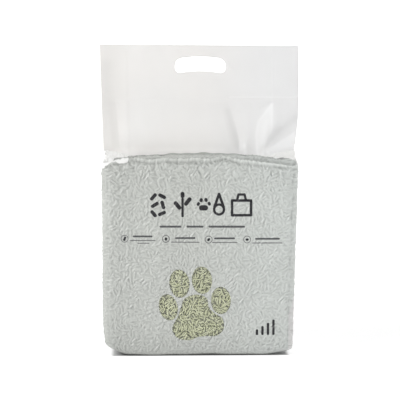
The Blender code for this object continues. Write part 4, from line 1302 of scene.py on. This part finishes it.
def closed_sheet(name, layers, depth, surface):
    """Two layers of one grid, closed along their rims, without the cells inside an outline."""
    count = depth.size
    cells, inside = split_cells(np.arange(count).reshape(depth.shape), depth)
    front = [cell for cell, within in zip(cells, inside) if not within]
    rim = {}
    for face in front:
        for a, b in zip(face, face[1:] + face[:1]):
            if (b, a) in rim:
                del rim[(b, a)]
            else:
                rim[(a, b)] = True
    faces = front + [tuple(count + i for i in face[::-1]) for face in front]
    faces += [(b, a, count + a, count + b) for a, b in rim]
    used, faces = renumbered(faces)
    points = np.concatenate([layer.reshape(-1, 3) for layer in layers])[used]
    obj = mesh_object(name, points, faces, [surface])
    mark(obj.data, "print_edge", print_edge(points))
    return obj, points


def head_film(surface):
    """The emptied film above the block: two plies pressed together, with the folded gussets between them."""
    columns, rows = 200, 112
    foot = ROOF_RIDGE - 0.004
    half_width = FLAT_WIDTH / 2.0
    spots = flat_grid(-half_width, half_width, columns, foot, BAG_HEIGHT, rows)
    outline = slot_outline()
    scale = header_half_width(outline[:, 1], outline[:, 0]) / half_width
    outline = outline / stacked(scale, np.ones(len(scale)))
    spots, depth = snap(spots, outline_depth(spots, [outline]))
    x, z = spots[..., 0], spots[..., 1]
    z = z + 0.008 * shoulder_share(x, BRICK_WIDTH / 2.0) * clip(1.0 - (z - foot) / 0.03) ** 2
    rise = clip((z - ROOF_RIDGE) / HEADER_HEIGHT)
    seal = BAG_HEIGHT - SEAL_BELOW_TOP
    soft, sharp = 0.0012, 0.0006
    folded = smooth((np.abs(x) - (half_width - GUSSET_TUCK)) / soft)
    band = smooth((z - (seal - SEAL_HEIGHT)) / soft) * smooth((seal - z) / soft)
    lip = smooth((z - (seal - soft)) / sharp) * smooth((seal + sharp - z) / sharp)
    lip = lip * smooth((x - 0.03) / 0.012)
    thick = PLY * (1.0 + folded) + SEAL_STEP * band + SEAL_LIP * lip
    thick = thick + FOOT_FLARE * clip(1.0 - (z - ROOF_RIDGE) / FOOT_HEIGHT) ** 2
    slope = TOP_SLOPE * (0.5 + x / FLAT_WIDTH) * rise**4
    wide = x * header_half_width(z, x) / half_width
    middle = header_surface(x, z) + head_detail(wide, z)
    top = z + HEAD_STRETCH * rise - slope
    plies = [stacked(wide, middle + way * thick, top) for way in (-1.0, 1.0)]
    obj, points = closed_sheet("head_film", plies, depth, surface)
    mark(obj.data, "fold_shading", along_lines(points[:, (0, 2)], HEAD_FOLD_SHADING))
    return obj


def head_detail(x, z):
    """Finer folds and crinkles of the empty head, on top of the broad ones."""
    depth = 0.0002 * np.sin(95.0 * x + 40.0 * z) * np.sin(70.0 * z - 20.0 * x + 1.0)
    depth = depth + 0.00012 * np.sin(230.0 * x - 60.0 * z) * np.sin(150.0 * z + 60.0 * x)
    return along_lines(stacked(x, z), HEAD_CREASES, depth * smooth((z - ROOF_RIDGE) / 0.01))


def back_seam(field, surface):
    """The lapped strip down the middle of the back."""
    columns, rows = 12, 190
    half = SEAM_WIDTH / 2.0
    spots = flat_grid(-half, half, columns, 0.012, BRICK_HEIGHT - 0.008, rows)
    x, z = spots[..., 0], spots[..., 1]
    s = BRICK_WIDTH + BRICK_DEPTH + BRICK_WIDTH / 2.0 - x
    height = field.sample(s, z + SKIRT) + FILM_LIFT
    layers = []
    for lift in (SEAM_STEP, -0.0002):
        layers.append(settle(stacked(x, np.full(x.shape, BRICK_DEPTH / 2.0), z)))
        layers[-1][..., 1] += height + lift
    obj, points = closed_sheet("back_seam", layers, np.ones(x.shape), surface)
    mark(obj.data, "pale", np.full(len(points), -0.01))
    mark(obj.data, "tone", np.ones(len(points)))
    obj.data.set_sharp_from_angle(angle=SHARP)
    return obj


def aimed(obj, spot, aim):
    """The object at a spot, turned to face its aim, and put in the scene."""
    obj.location = spot
    obj.rotation_euler = (Vector(aim) - obj.location).to_track_quat("-Z", "Y").to_euler()
    return linked(obj)


def area_light(name, spot, height, size, power):
    """A soft studio panel, facing the bag at a height."""
    data = bpy.data.lights.new(name, "AREA")
    data.size = size
    data.energy = power
    aimed(bpy.data.objects.new(name, data), spot, (0.0, 0.0, height))


def stage():
    """A white sweep that the bag stands on, soft panels and the camera."""
    back, radius = 2.4, 0.8
    profile = [(-4.0, 0.0), (back, 0.0)]
    for angle in np.linspace(0.1, 1.5708, 14):
        profile.append((back + radius * math.sin(angle), radius - radius * math.cos(angle)))
    profile.append((3.2, 4.5))
    points = [(x, y, z) for y, z in profile for x in (-5.0, 5.0)]
    faces = [(k, k + 1, k + 3, k + 2) for k in range(0, len(points) - 2, 2)]
    mesh_object("sweep", points, faces, [paper_white("paper", 0.5)], outward=False)

    world = bpy.data.worlds.new("studio")
    world.use_nodes = True
    background = world.node_tree.nodes["Background"]
    background.inputs["Color"].default_value = (1.0, 1.0, 1.0, 1.0)
    background.inputs["Strength"].default_value = WORLD_LIGHT
    bpy.context.scene.world = world
    for light in LIGHTS:
        area_light(*light)

    camera = bpy.data.cameras.new("camera")
    camera.sensor_width = 36.0
    camera.lens = CAMERA_LENS
    camera.shift_x, camera.shift_y = CAMERA_SHIFT
    view = bpy.data.objects.new("camera", camera)
    bpy.context.scene.camera = aimed(view, CAMERA_SPOT, CAMERA_AIM)
    bpy.context.scene.view_settings.view_transform = "Standard"


def main():
    """Builds every piece, and ties each to the frame."""
    field, pellets = film_relief()
    skin = film_skin(field, [film_material("printed_film", True), window_material()])
    seam = back_seam(field, film_material("seam_film", False))
    head = head_film(head_material())
    loose, mass = litter_pieces(pellets, litter_material("pellet", 1.0), litter_material("pellet_painted_shade", 0.8))
    for piece in (*skin, seam, head):
        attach(piece, "root")
        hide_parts("film_bag")
    for piece in (loose, mass):
        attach(piece, "root")
        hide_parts("litter_fill")
    stage()


main()
